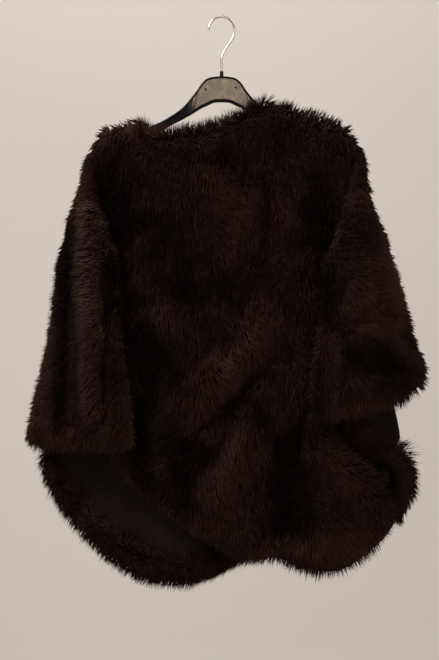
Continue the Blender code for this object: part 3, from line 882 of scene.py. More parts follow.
def spread(form, count, rows, seed, crowd=None):
    """Roots spread over a form's surface, denser where crowd says: shares across and down."""
    rng = np.random.default_rng(seed)
    across = np.linspace(rows[0][0], rows[0][1], 81)
    down = np.linspace(rows[1][0], rows[1][1], 121)
    u, v = np.meshgrid(across, down)
    points = form(u, v)
    one = points[1:, 1:] - points[:-1, :-1]
    two = points[1:, :-1] - points[:-1, 1:]
    area = np.linalg.norm(np.cross(one, two), axis=-1)
    if crowd is not None:
        area = area * crowd(u[1:, 1:], v[1:, 1:], points[1:, 1:])
    area = area.ravel()
    total = np.cumsum(area) / area.sum()
    cell = np.searchsorted(total, (np.arange(count) + rng.random(count)) / count * 0.999999)
    row, col = np.divmod(cell, len(across) - 1)
    u = across[col] + rng.random(count) * (across[1] - across[0])
    v = down[row] + rng.random(count) * (down[1] - down[0])
    return u, v


# %% [markdown]
# How fur lies: a hair leaves the cloth steeply and bends over the way it was combed, and
# neighbours stick together into locks. So each hair gets a height, a direction in the sheet,
# and the middle of the lock that pulls its tip in.

# %% Laying the pile
HAIR = 30.0         # length of a guard hair
UNDER_SHARE = 0.36  # of the hairs, the shorter ones beneath


def locks(a, b, size, seed):
    """The lock that each hair belongs to: the way to its middle, and two numbers of its own."""
    nearest = np.full(len(a), 1e9)
    to_a, to_b, first, second = (np.zeros(len(a)) for _ in range(4))
    for da in (-1, 0, 1):
        for db in (-1, 0, 1):
            ca, cb = np.floor(a / size) + da, np.floor(b / size) + db
            one = np.modf(np.abs(np.sin(ca * 12.9898 + cb * 78.233 + seed)) * 43758.5453)[0]
            two = np.modf(np.abs(np.sin(ca * 39.346 + cb * 11.135 + seed)) * 24634.6345)[0]
            pa, pb = (ca + one) * size - a, (cb + two) * size - b
            away = pa ** 2 + pb ** 2
            closer = away < nearest
            nearest = np.where(closer, away, nearest)
            to_a, to_b = np.where(closer, pa, to_a), np.where(closer, pb, to_b)
            first, second = np.where(closer, one, first), np.where(closer, two, second)
    return np.stack([to_a, np.zeros(len(a)), to_b], axis=1), first, second


def in_sheet(way, out):
    return way - out * (way * out).sum(1, keepdims=True)


def lay_pile(name, place, out, comb, height, material, seed, shade, apart=0.0, length=HAIR, clump=1.0):
    """Hairs from roots at place, standing out along out, combed along comb."""
    clump = clump * np.ones(len(place))
    rng = np.random.default_rng(seed)
    count = len(place)
    a, b = place[:, 0] + apart, place[:, 2] + 0.7 * place[:, 1]
    to_strand, strand_one, strand_two = locks(a, b, 4.4, seed)
    to_tuft, tuft_one, tuft_two = locks(a, b, 15.0, seed + 0.5)
    under = rng.random(count) < UNDER_SHARE
    loose = 1 - clump
    stray = ~under & (rng.random(count) < 0.10 + 0.35 * loose)
    flat = unit(in_sheet(comb, out))
    cross = np.cross(out, flat)
    swing = clump * (12 * (tuft_one - 0.5) + 10 * (strand_one - 0.5)) + rng.normal(0, 6, count)
    swing = np.radians(swing * np.where(stray, 2.2, 1.0))[:, None]
    flat, cross = flat * np.cos(swing) + cross * np.sin(swing), cross * np.cos(swing) - flat * np.sin(swing)
    long = length * (0.84 + 0.14 * strand_two + 0.12 * tuft_two + rng.normal(0, 0.06, count))
    rise = height * (0.66 + 0.22 * strand_one + 0.22 * tuft_one + rng.normal(0, 0.09, count))
    rise = rise + height * 0.9 * loose * (tuft_two - 0.5)
    long = np.where(under, long * rng.uniform(0.5, 0.85, count), long)
    lifted = rise * np.where(stray, 1.25 + 0.2 * loose, 1.0)
    rise = np.where(under, rise * rng.uniform(0.35, 0.85, count), lifted)
    rise = np.clip(rise, 1.5, 0.93 * long)
    run = np.sqrt(np.maximum(0.92 * long ** 2 - rise ** 2, 4.0))
    grip = (clump * np.where(under | stray, 0.15, 0.6))[:, None]
    pull = in_sheet(grip * to_strand + 0.5 * grip * 0.35 * to_tuft, out)
    tips = place + out * rise[:, None] + flat * run[:, None] + pull
    tips[:, 2] -= 0.05 * run
    bends = place + out * (0.60 * rise)[:, None] + flat * (0.34 * run)[:, None] + 0.4 * pull
    roll = rng.normal(0, 0.5, count)[:, None]
    sideways = unit(cross * np.cos(roll) + out * np.sin(roll))
    widths = (0.75 + 0.5 * rng.random(count)) * np.where(under, 1.6, np.where(stray, 0.7, 1.0))
    tint = shade + 0.16 * (strand_two - 0.5) + 0.10 * (tuft_two - 0.5) + rng.normal(0, 0.05, count)
    tint = tint - 0.07 * under
    return hairs(name, place, bends, tips, sideways, widths, tint, material)


# %% [markdown]
# Fur colour: nearly black at the root, dark chocolate along the hair, and a paler, warmer tip:
# partly the hair's own colour, partly painted light for the light that the tips catch. A real
# hair is glossy, so the gloss is left to the shader.

# %% Fur finish
def map_colour(name, root, length, tip, dark, pale, roughness):
    """A finish read from a piece's own map: across is its shade from dark to pale, which carries painted
    light and shade as well as the piece's own tone; up is from root to tip.
    """
    material, nodes, links, shader = start_finish(name, {
        "Roughness": roughness,
        "Specular IOR Level": 0.07,
        "Specular Tint": (1.0, 0.72, 0.62, 1),
    })
    place = nodes.new("ShaderNodeUVMap")
    place.uv_map = "OFBake"
    parts = nodes.new("ShaderNodeSeparateXYZ")
    links.new(place.outputs["UV"], parts.inputs["Vector"])
    mix = nodes.new("ShaderNodeMix")
    mix.data_type = "RGBA"
    mix.blend_type = "MULTIPLY"
    mix.inputs["Factor"].default_value = 1.0
    by_height = colours(nodes, links, parts.outputs["Y"], (0, root), (0.5, length), (0.96, tip))
    by_shade = colours(nodes, links, parts.outputs["X"], (0, dark), (1, pale))
    links.new(by_height, mix.inputs["A"])
    links.new(by_shade, mix.inputs["B"])
    links.new(mix.outputs["Result"], shader.inputs["Base Color"])
    return material


fur = map_colour(
    "dark brown fur",
    root=(0.004, 0.0014, 0.0008),
    length=(0.0150, 0.0058, 0.0036),
    tip=(0.040, 0.0205, 0.0156),
    dark=(0.24, 0.22, 0.22),
    pale=(2.7, 2.75, 2.95),
    roughness=0.55,
)
print("fur finish has", len(fur.node_tree.nodes), "nodes")

# %% [markdown]
# Smooth cloth: the lining is a matt woven satin, dark brown. Fine crossed waves give the weave,
# and slow noise gives the faint clouding of a pressed cloth.

# %% Cloth finishes
def woven(name, dark, pale, roughness, thread, bump):
    """A matt cloth with faint clouding and a weave of crossed threads."""
    material, nodes, links, shader = start_finish(name, {
        "Roughness": roughness,
        "Specular IOR Level": 0.08,
    })
    cloud = noise(nodes, links, 9, 3)
    links.new(colours(nodes, links, cloud, (0.3, dark), (0.7, pale)), shader.inputs["Base Color"])
    place = nodes.new("ShaderNodeTexCoord")
    weave = nodes.new("ShaderNodeMath")
    weave.operation = "MULTIPLY"
    for k, direction in enumerate("XZ"):
        wave = nodes.new("ShaderNodeTexWave")
        wave.bands_direction = direction
        wave.inputs["Scale"].default_value = thread
        wave.inputs["Distortion"].default_value = 0.6
        links.new(place.outputs["Object"], wave.inputs["Vector"])
        links.new(wave.outputs["Fac"], weave.inputs[k])
    lift = nodes.new("ShaderNodeBump")
    lift.inputs["Strength"].default_value = bump
    lift.inputs["Distance"].default_value = 0.0003
    links.new(weave.outputs["Value"], lift.inputs["Height"])
    links.new(lift.outputs["Normal"], shader.inputs["Normal"])
    return material


lining_cloth = woven("brown lining", (0.0092, 0.0046, 0.0036), (0.0142, 0.0074, 0.0058), 0.7, 260, 0.3)
# The knitted back is nearly black: partly its own colour, partly painted shade for the shade among the hair
# roots.
fur_back = woven("knitted back", (0.002, 0.0009, 0.0006), (0.004, 0.0018, 0.0012), 0.9, 180, 0.4)
print("cloth finishes:", lining_cloth.name, "and", fur_back.name)

# %% [markdown]
# The front. Its cloth stops short of the outline, because the last of it is only hair. The comb
# table says which way the hair runs: each row pulls the lay around it towards its own direction.

# %% Comb of the front and the back
COMB_FRONT = (
    # x, z, reach, towards x, towards z
    (-150, -200, 50, -0.6, -0.6),
    (120, -190, 70, 0.5, -0.9),
    (10, -340, 60, 1.0, -0.4),
    (-90, -320, 60, 0.2, -1.0),
    (80, -400, 60, -0.8, -0.6),
    (10, -550, 60, 0.7, -0.7),
    (-90, -680, 60, -1.0, -0.3),
    (30, -730, 70, 0.4, -1.0),
    (180, -760, 80, 0.8, -0.8),
    (-150, -560, 60, -0.4, -1.0),
)
COMB_BACK = (
    # x, z, reach, towards x, towards z
    (-110, -320, 80, -0.6, -0.9),
    (90, -360, 80, 0.7, -0.8),
    (-60, -640, 90, 0.4, -1.0),
    (150, -700, 90, 0.6, -0.8),
    (-180, -760, 80, -0.6, -0.8),
)


def combed(table, x, z, side, seed):
    """The way the hair is combed at each place, in the room's directions."""
    towards_x = 0.3 * wander(x, z, 85, seed) + 0.35 * wander(x, z, 38, seed + 1)
    towards_z = -1.0 + 0.3 * wander(x, z, 60, seed + 2)
    weight = np.ones(len(x))
    for at_x, at_z, reach, dx, dz in table:
        near = 2.5 * np.exp(-((x - at_x) ** 2 + (z - at_z) ** 2) / reach ** 2)
        towards_x = towards_x + near * dx
        towards_z = towards_z + near * dz
        weight = weight + near
    angle = np.radians(22) * wander(x, z, 26, seed + 3)
    dx, dz = towards_x / weight, towards_z / weight
    turned_x = dx * np.cos(angle) - dz * np.sin(angle)
    turned_z = dx * np.sin(angle) + dz * np.cos(angle)
    return np.stack([turned_x, np.full(len(x), 0.35 * side), turned_z], axis=-1)


# %% [markdown]
# Each root asks how far the outline is. Near it the hairs turn outwards and lie lower, and over
# the shoulders and the neck edge they fan apart.

# %% Laying the pile of a panel
EDGE_INSET = 8.0        # from the outline to the edge of the cloth
ROOT_INSET = 12.0       # and to the last roots


def panel_frame(panel, u, v):
    """Place, way out, and the two ways along the sheet, in millimetres and unit directions."""
    step = 0.002
    place = panel.cloth(u, v)
    across = panel.cloth(np.clip(u + step, 0, 1), v) - panel.cloth(np.clip(u - step, 0, 1), v)
    down = panel.cloth(u, np.minimum(v + step, 1)) - panel.cloth(u, np.maximum(v - step, -TOP_SHARE))
    out = unit(np.cross(across, down)) * panel.side
    width = np.linalg.norm(across, axis=1) / (2 * step)
    return place, out, unit(across), unit(down), width


def to_rim(rim, x, z):
    """The nearest place on an outline: how far it is, and which way."""
    best = np.full(len(x), 1e9)
    way = np.zeros((len(x), 2))
    for (x0, z0), (x1, z1) in zip(rim, rim[1:]):
        across, down = x1 - x0, z1 - z0
        share = ((x - x0) * across + (z - z0) * down) / max(across ** 2 + down ** 2, 1e-6)
        share = np.clip(share, 0, 1)
        dx, dz = x0 + share * across - x, z0 + share * down - z
        closer = dx ** 2 + dz ** 2 < best
        best = np.where(closer, dx ** 2 + dz ** 2, best)
        way[closer] = np.stack([dx, dz], axis=-1)[closer]
    far = np.sqrt(best)
    return far, way / np.maximum(far, 1e-6)[:, None]


def painted_fold_light(folds, x, z):
    """Painted light and shade: ridges are painted paler than troughs, because their hairs turn to the light.
    """
    return np.clip(fold_height(folds, x, z) / 60, -0.12, 0.10)


def crowded_top(u, v, points):
    """More hair over the shoulders and the neck edge, where it fans apart, and at the hem."""
    return 1 + 2.6 * (1 - ease((v + TOP_SHARE) / 0.07)) + 0.5 * ease((v - 0.94) / 0.06)


def root_inset(panel, x, z):
    """How far inside the outline the last roots stand. It changes where the photo's fur does."""
    low_right = ease((-750 - z) / 35) * (1 - ease((-840 - z) / 60))
    inset = ROOT_INSET + ease((x - 190) / 60) * (11 * low_right - 3)
    inset = inset + 8 * ease((x - 150) / 40) * ease((-870 - z) / 30)
    inset = inset - 7 * ease((x - 230) / 30) * (1 - ease(np.abs(z + 706) / 26))
    if panel is back:
        inset = inset - 5 * ease((-20 - x) / 40) * ease((-800 - z) / 60)
    beside_sleeve = ease((np.abs(x) - 130) / 25) * ease((-400 - z) / 30)
    return inset - 7 * beside_sleeve * (1 - ease((-590 - z) / 30))


def panel_pile(panel, count, seed, comb_table, folds, painted_light):
    """Roots and lay of a panel's hairs: place, out, comb, height, shade, length and clump."""
    u, v = spread(panel.cloth, count, ((0.0, 1.0), (-TOP_SHARE, 1.0)), seed, crowded_top)
    place, out, across, down, width = panel_frame(panel, u, v)
    edge, way = to_rim(panel.rim, place[:, 0], place[:, 2])
    keep = (edge > root_inset(panel, place[:, 0], place[:, 2])) | (place[:, 2] > UNDERARM)
    u, v, place, out, across, down, edge, way, width = (
        item[keep] for item in (u, v, place, out, across, down, edge, way, width)
    )
    x, z = place[:, 0], place[:, 2]
    comb = unit(combed(comb_table, x, z, panel.side, seed))
    loose = ease((UNDERARM - z) / 40)
    at_rim = (1.7 * loose * (1 - ease((edge - ROOT_INSET) / 36)))[:, None]
    beside = 1 - ease(np.minimum(u, 1 - u) * width / 36)
    over_seam = (1.2 * (1 - loose) * beside * ease(v / 0.16) * np.sign(u - 0.5))[:, None]
    neck = (1 - on_shoulder(x)) * (1 - ease((v + TOP_SHARE) / 0.055))
    neck = neck * (0.35 + 0.65 * np.random.default_rng(seed + 4).random(len(x)))
    shoulder = (on_shoulder(x) * (1 - ease(v / 0.05)))[:, None]
    comb = comb * (1 - shoulder) + shoulder * (1.1 * down + 0.12 * np.sign(x)[:, None] * across)
    comb = comb + at_rim * np.stack([way[:, 0], 0 * x, way[:, 1]], axis=-1) + over_seam * across
    comb = comb - 2.2 * neck[:, None] * down
    tall = PILE + (1 - RAISED) * panel.crown(u, v)
    tall = 1.06 * tall * (1 - loose * (1 - np.sqrt(1 - (1 - np.clip((edge - 4) / 20, 0, 1)) ** 2)))
    tall = tall * (1 - 0.3 * neck) + 1.5 * wander(x, z, 30, seed + 9)
    tall = tall * (1 - 0.4 * ease((np.abs(x) - 180) / 25) * (1 - ease(v / 0.1)))
    # Painted light and shade: ridges and pale patches are painted paler, troughs and dark patches darker.
    shade = 0.37 + painted_fold_light(folds, x, z) + 1.7 * fold_height(painted_light, x, z)
    shade = shade + 0.13 * wander(x, z, 32, seed + 5) + 0.10 * wander(x, z, 15, seed + 6)
    clump = 1 - np.maximum(0.85 * np.maximum(shoulder[:, 0], neck), 0.55 * at_rim[:, 0] / 1.7)
    return place + out * CLOTH, out, comb, tall, shade, HAIR - 6 * at_rim[:, 0] / 1.7, clump


print("pile of a panel: cloth edge is", EDGE_INSET, "mm inside the outline")


# %% Making the cloths and the pile of the front and the back
def panel_cloth(panel, name, columns, rows):
    u = np.linspace(0, 1, columns)
    v = np.concatenate([np.linspace(-TOP_SHARE, 0, 5)[:-1], np.linspace(0, 1, rows)])
    u, v = np.meshgrid(u, v)
    for _ in range(2):
        points = panel.cloth(u, np.minimum(v, 1 - EDGE_INSET / PANEL_LENGTH))
        inset = EDGE_INSET / PANEL_WIDTH * ease((UNDERARM - points[..., 2]) / 40)
        flat_u = np.linspace(0, 1, columns)[None, :]
        u = inset + (1 - 2 * inset) * flat_u
    points = panel.cloth(u, np.minimum(v, 1) * np.where(v > 0, 1 - EDGE_INSET / PANEL_LENGTH, 1))
    return thin_cloth(name, points, 1, CLOTH, False, fur_back, fur_back)


def dress(panel, word, columns, rows, count, seed, table, folds, painted_light):
    """The cloth of a panel and its pile, left and right."""
    cloth = panel_cloth(panel, word + "_cloth", columns, rows)
    root, out, comb, tall, shade, long, clump = panel_pile(panel, count, seed, table, folds, painted_light)
    pieces = []
    for half, chosen in (("left", root[:, 0] < 0), ("right", root[:, 0] >= 0)):
        name = word + "_fur_" + half
        pieces.append(lay_pile(
            name, root[chosen], out[chosen], comb[chosen], tall[chosen], fur, seed, shade[chosen],
            length=long[chosen], clump=clump[chosen],
        ))
    return cloth, pieces


front_cloth, front_fur = dress(
    front, "front", 50, 60, 76000, 11, COMB_FRONT, FOLDS_FRONT + FINE_FRONT, PAINTED_LIGHT_FRONT,
)

# %% The back
back_cloth, back_fur = dress(
    back, "back", 46, 56, 56000, 31, COMB_BACK, FOLDS_BACK + FINE_BACK, PAINTED_LIGHT_BACK,
)

# %% [markdown]
# A sleeve is one piece of fur folded round and closed under the arm. Empty, it lies flat in
# front of the body, a little below it, and its hair runs out and down.

# %% Sleeve comb and pile
COMB_SLEEVES = {
    "left": (
        # x, z, reach, towards x, towards z
        (-250, -300, 70, -1.2, -0.1),
        (-285, -430, 80, -1.5, 0.2),
        (-225, -450, 60, -1.2, 0.1),
        (-305, -560, 80, -1.4, 0.1),
        (-225, -580, 60, -1.1, 0.0),
        (-160, -560, 36, 0.9, -0.5),
        (-230, -670, 50, -0.3, -1.0),
    ),
    "right": (
        # x, z, reach, towards x, towards z
        (240, -280, 70, 0.8, -0.5),
        (250, -390, 80, 1.3, -0.1),
        (290, -470, 80, 1.3, -0.2),
        (180, -480, 50, -0.2, -0.9),
        (235, -560, 60, 0.8, -0.6),
        (220, -630, 50, 0.1, -1.0),
        (310, -560, 50, 1.0, -0.5),
    ),
}


def crowded_fold(u, v, points):
    """More hair along the two edges of the flat tube, where it fans apart."""
    to_edge = np.minimum(np.minimum(u % 0.5, 0.5 - u % 0.5) / 0.1, 1)
    return 1 + 1.2 * (1 - to_edge) + 1.5 * (1 - ease(v / 0.2))


def sleeve_pile(sleeve, name, count, seed):
    u, v = spread(sleeve.cloth, count, ((0.0, 1.0), (0.0, 1.0)), seed, crowded_fold)
    step = 0.003
    place = sleeve.cloth(u, v)
    around = sleeve.cloth(u + step, v) - sleeve.cloth(u - step, v)
    down = sleeve.cloth(u, np.minimum(v + step, 1)) - sleeve.cloth(u, np.maximum(v - step, 0))
    out = unit(np.cross(around, down))
    middle = (sleeve.cloth(np.zeros(len(u)), v) + sleeve.cloth(np.full(len(u), 0.5), v)) / 2
    out *= np.sign((out * (place - middle)).sum())
    down = unit(down)
    rng = np.random.default_rng(seed + 1)
    from_cuff = (1 - v) * SLEEVE_LENGTH
    outer = 1 - ease(np.abs(u - 0.5) / (0.16 + 0.10 * (1 - ease(v / 0.3))))
    keep = from_cuff > ROOT_INSET + (6 if name == "left" else 34) * outer
    keep = keep & ((out[:, 1] < 0.4) | (rng.random(len(u)) < 0.35))
    keep = keep & ((place[:, 0] < 291) | (place[:, 2] > 0.83 * (place[:, 0] - 291) - 613))
    u, v, place, out, down, from_cuff, outer = (
        item[keep] for item in (u, v, place, out, down, from_cuff, outer)
    )
    x, z = place[:, 0], place[:, 2]
    comb = unit(combed(COMB_SLEEVES[name], x, z, -1, seed))
    comb = comb + (1.5 * (1 - ease((from_cuff - EDGE_INSET) / 40)))[:, None] * down
    upper = (0.6 * outer * (1 - 0.6 * ease((v - 0.25) / 0.35)))[:, None]
    comb = comb * (1 - upper) + upper * (1.1 * down)
    fold = np.maximum(1 - np.minimum(u, 1 - u) / 0.13, 0) * (1 - 0.7 * ease((v - 0.4) / 0.3))
    comb = comb + np.stack([-sleeve.side * 2.0 * fold, -0.4 * fold, 0 * fold], axis=-1)
    hidden = ease((out[:, 1] - 0.2) / 0.5)
    tall = (SLEEVE_WALL + 1.0) * np.sqrt(1 - (1 - np.minimum((from_cuff + 3) / 22, 1)) ** 2)
    tall = tall * (1 - 0.35 * hidden) + 1.5 * wander(x, z, 30, seed + 9)
    tall = tall * (1 - 0.25 * outer * (1 - ease((v - 0.05) / 0.35)))
    at_fold = 1 - ease(np.minimum(u % 0.5, 0.5 - u % 0.5) / 0.11)
    long = 28 - 7 * at_fold
    facing_front = 1 - ease((out[:, 1] + 0.2) / 0.4)
    # Painted light and shade: ridges and, on the sleeve's front, pale patches are painted paler, troughs and
    # dark patches darker.
    shade = 0.38 + painted_fold_light(sleeve.folds, x, z)
    shade = shade + 0.10 * wander(x, z, 30, seed + 5) + 0.07 * wander(x, z, 14, seed + 6)
    shade = shade + 1.3 * facing_front * fold_height(PAINTED_LIGHT_SLEEVES[name], x, z)
    # Painted shade along the fold under the arm, where the sleeve lies against the body: only its upper part
    # on the left sleeve, all its length on the right.
    painted_fold_shade = 0.42 - (0.42 if name == "left" else 0.12) * ease((v - 0.35) / 0.2)
    shade = shade - painted_fold_shade * np.minimum(1.6 * fold, 1)
    return place + out * CLOTH, out, comb, tall, 40.0 * (out[:, 1] > 0), shade, long, 1 - 0.6 * at_fold


def dress_sleeve(name, count, seed):
    sleeve = sleeves[name]
    turn, step = np.meshgrid(np.arange(48) / 48, np.linspace(0, 1 - EDGE_INSET / SLEEVE_LENGTH, 40))
    points = sleeve.cloth(turn, step)
    middle = points.mean(axis=1, keepdims=True)
    way = np.sign((face_normals(points, True) * (points - middle)).sum())
    cloth = thin_cloth("sleeve_" + name + "_cloth", points, way, CLOTH, True, fur_back, lining_cloth)
    root, out, comb, tall, apart, shade, long, clump = sleeve_pile(sleeve, name, count, seed)
    hair = lay_pile("sleeve_" + name + "_fur", root, out, comb, tall, fur, seed, shade, apart, long, clump)
    return cloth, hair


left_cloth, left_fur = dress_sleeve("left", 50000, 51)

# %% The other sleeve
right_cloth, right_fur = dress_sleeve("right", 48000, 71)

# %% [markdown]
# Inside the back hangs the lining, seen below both sleeves. It is a smooth sheet with a few soft
# upright creases, and at the right it hangs out past the fur with a clean cut edge.

# %% Lining
LINING_THICKNESS = 1.5
LINING_SIDE_INSET = 14.0
LINING_HEM_INSET = 12.0
CREASES = (
    # x and z of one end, x and z of the other, half width, height
    (-246, -690, -250, -790, 16, 14),
    (-262, -700, -268, -760, 12, 5),
    (-178, -700, -160, -860, 26, 12),
    (-140, -740, -130, -850, 22, 6),
    (-100, -700, -80, -880, 20, 3),
    (235, -640, 262, -680, 10, 3),
    (280, -640, 284, -700, 8, 2.5),
    (60, -700, 70, -860, 22, 3),
)


def lining_edge(z):
    """x of the lining's free edge at the right."""
    return np.interp(-z, [-z for x, z in LINING_RIGHT_EDGE], [x for x, z in LINING_RIGHT_EDGE])


def lining_points(columns, rows):
    """The lining's face, on the back's inside and out past it at the right."""
    u = np.linspace(LINING_SIDE_INSET / PANEL_WIDTH, 1, columns)
    u, v = np.meshgrid(u, np.linspace(0.0, 1 - LINING_HEM_INSET / PANEL_LENGTH, rows))
    points = back.cloth(u, v)
    start = points[:, columns // 2, 2] < LINING_TOP
    points = points[start]
    edge = lining_edge(points[:, -1, 2])
    under_fur = 16 * ease((LINING_RIGHT_EDGE[-1][1] + 12 - points[:, -1, 2]) / 24)
    under_fur = under_fur + 30 * ease((-715 - points[:, -1, 2]) / 20)
    reach = np.maximum(edge, points[:, -1, 0]) - points[:, -1, 0] - under_fur
    share = np.linspace(0, 1, columns)[None, :] ** 6
    points[..., 0] += reach[:, None] * share
    lift = fold_height(CREASES, points[..., 0], points[..., 2]) * (1 - ease((v[start] - 0.80) / 0.08))
    points[..., 1] -= LINING_GAP + np.maximum(lift, 0)
    return points


lining = thin_cloth(
    "back_lining_cloth", lining_points(72, 70), 1, -LINING_THICKNESS, False, lining_cloth, lining_cloth,
)

# %% [markdown]
# Behind that free corner the fur is seen from the back only. Its hair lies flat there and runs
# down and a little inwards, so that none of it passes the clean edge.

# %% Fur behind the corner
CORNER_TOP = -525
CORNER_FOOT = -712


def corner_pile(count, seed):
    """Flat hair on the outside, behind the lining's free corner."""
    rng = np.random.default_rng(seed)
    z = rng.uniform(CORNER_FOOT, CORNER_TOP, count)
    side = np.interp(-z, -back.right[:, 1], back.right[:, 0])
    x = rng.uniform(side - 34, side + 50)
    keep = x < lining_edge(z) - 9
    x, z, side = x[keep], z[keep], side[keep]
    place = np.stack([x, inside(1, np.minimum(x, side), z) + CLOTH, z], axis=-1)
    out = np.tile([0.0, 1.0, 0.0], (len(x), 1))
    comb = np.tile([-0.2, 0.0, -1.0], (len(x), 1))
    height = np.full(len(x), 7.0)
    shade = 0.38 + 0.1 * wander(x, z, 30, 5)
    return lay_pile("back_fur_corner", place, out, comb, height, fur, seed + 1, shade, length=25.0)


back_fur.append(corner_pile(5800, 121))

# %% [markdown]
# The fur is turned in along the back's hem, so that a band of it lies on the lining. At the
# right it is a strip that runs down beside the lining's edge.

# %% Facings
FACING_START = 0.932        # share down the back where the facing begins
FACING_END = 0.845          # share across where the right-hand strip takes over


def facing_left(u, v):
    """The lining side of the left facing."""
    points = back.cloth(u, FACING_START + (1 - FACING_START) * v)
    points[..., 1] -= LINING_GAP + LINING_THICKNESS + LINING_GAP
    return points


strip_line = smooth_curve(FACING_RIGHT)


def facing_right(u, v):
    """The lining side of the right facing: u runs along its line and v across it."""
    here = along(strip_line, u)
    ahead = unit(along(strip_line, u + 0.02) - along(strip_line, u - 0.02))
    sideways = np.stack([-ahead[..., 1], ahead[..., 0]], axis=-1)
    place = here + sideways * ((v - 0.5) * FACING_WIDTH)[..., None]
    y = inside(1, place[..., 0], place[..., 1]) - (LINING_GAP + LINING_THICKNESS + 2.0)
    return np.stack([place[..., 0], y, place[..., 1]], axis=-1)


def facing(name, form, limits, past, count, seed, comb_way, long):
    (u0, u1), (v0, v1) = limits
    u, v = np.meshgrid(np.linspace(u0, u1, 60), np.linspace(v0, v1, 8))
    points = form(u, v)
    points[..., 1] -= 0.2
    cloth = thin_cloth(name + "_cloth", points, 1, -1.2, False, fur_back, fur_back)
    u, v = spread(form, count, ((u0, u1), (v0 - past, v1)), seed)
    place = form(u, v)
    place[:, 1] -= 1.4
    x, z = place[:, 0], place[:, 2]
    out = np.tile([0.0, -1.0, 0.0], (len(u), 1))
    ahead = unit(form(u + 0.01, v) - form(u - 0.01, v))
    across = unit(form(u, v + 0.05) - form(u, v - 0.05))
    comb = comb_way[0] * ahead + (comb_way[1] + comb_way[2] * v)[:, None] * across
    comb[:, 0] += 0.4 * wander(x, z, 30, seed)
    tall = 8.5 * np.sqrt(np.clip(1 - (2 * v - 1) ** 2, 0.05, 1))
    # Painted shade: the band along the back's hem is painted darker than the right strip, and the strip is
    # painted dark along its lower side, for the hollow beside the front's edge.
    shade = (0.40 if past else 0.28) + 0.12 * wander(x, z, 25, seed + 2)
    if past:
        shade = shade - 0.38 * ease((0.42 - v) / 0.25) * ease((u - 0.3) / 0.15)
    hair = lay_pile(name + "_fur", place, out, comb, tall, fur, seed, shade, length=long)
    return cloth, hair


hem_left_cloth, hem_left_fur = facing(
    "hem_facing_left", facing_left, ((0.02, FACING_END), (0.0, 0.86)), 0.0, 10000, 91,
    (-0.25, -1.0, 3.2), 20.0,
)
hem_right_cloth, hem_right_fur = facing(
    "hem_facing_right", facing_right, ((0.02, 0.98), (0.04, 0.96)), 0.5, 7000, 95, (0.6, -0.9, 1.8), 16.0,
)

# %% [markdown]
# The hanger: glossy black plastic with wear, and a chromed wire.

# %% Hanger finishes
def hard_finish(name, settings, scale, detail, stops, gloss_range):
    """A hard finish whose colour and gloss change together in small spots."""
    material, nodes, links, shader = start_finish(name, settings)
    spots = noise(nodes, links, scale, detail)
    links.new(colours(nodes, links, spots, *stops), shader.inputs["Base Color"])
    gloss = nodes.new("ShaderNodeMapRange")
    gloss.inputs["To Min"].default_value = gloss_range[0]
    gloss.inputs["To Max"].default_value = gloss_range[1]
    links.new(spots, gloss.inputs["Value"])
    links.new(gloss.outputs["Result"], shader.inputs["Roughness"])
    return material


CLEAN_BLACK = (0.006, 0.006, 0.007)
plastic = hard_finish(
    "worn black plastic", {"Specular IOR Level": 0.5}, 95, 5,
    ((0.38, CLEAN_BLACK), (0.66, (0.040, 0.038, 0.036))), (0.10, 0.30),
)
# A copy of the black plastic, darker and with less gloss, for the rims and the ferrule: painted shade, for
# the dark room that the glossy rims reflect.
painted_shade_plastic = hard_finish(
    "black plastic with painted shade", {"Specular IOR Level": 0.12}, 95, 5,
    ((0.38, CLEAN_BLACK), (0.66, (0.010, 0.009, 0.009))), (0.40, 0.55),
)
chrome = hard_finish(
    "chromed wire", {"Metallic": 1.0}, 220, 4,
    ((0.35, (0.42, 0.40, 0.37)), (0.6, (0.72, 0.71, 0.69))), (0.30, 0.14),
)
print("hanger finishes:", plastic.name, "and", chrome.name)

# %% [markdown]
# A moulded hanger is a thin web with a raised rim all round, and no edge of it is sharp. It is
# drawn as a flat outline, extruded to its depth, inset and sunk on both faces, and then every
# sharp edge is bevelled, because it is the rounded edges that catch the light.

# %% Hanger arms
ARM_HALF_DEPTH = 5.5
RIM = 2.0
LOWER_RIM = 1.6         # added to the rim along the middle of the lower edge
SUNK = 2.3
TWIST = 1.3             # how far the web leans forward at the top along the arms
LEAN_LOWER = 0.66       # how much of the depth is left along the lower edge
LEAN_UPPER = 0.84
EDGE_ROUND = 0.9


def chosen_faces(thing, test):
    """Select in edit mode the faces that pass the test, and nothing else."""
    edit = bmesh.from_edit_mesh(thing.data)
    bpy.ops.mesh.select_all(action="DESELECT")
    bpy.ops.mesh.select_mode(type="FACE")
    for face in edit.faces:
        face.select_set(bool(test(face)))
    bmesh.update_edit_mesh(thing.data)


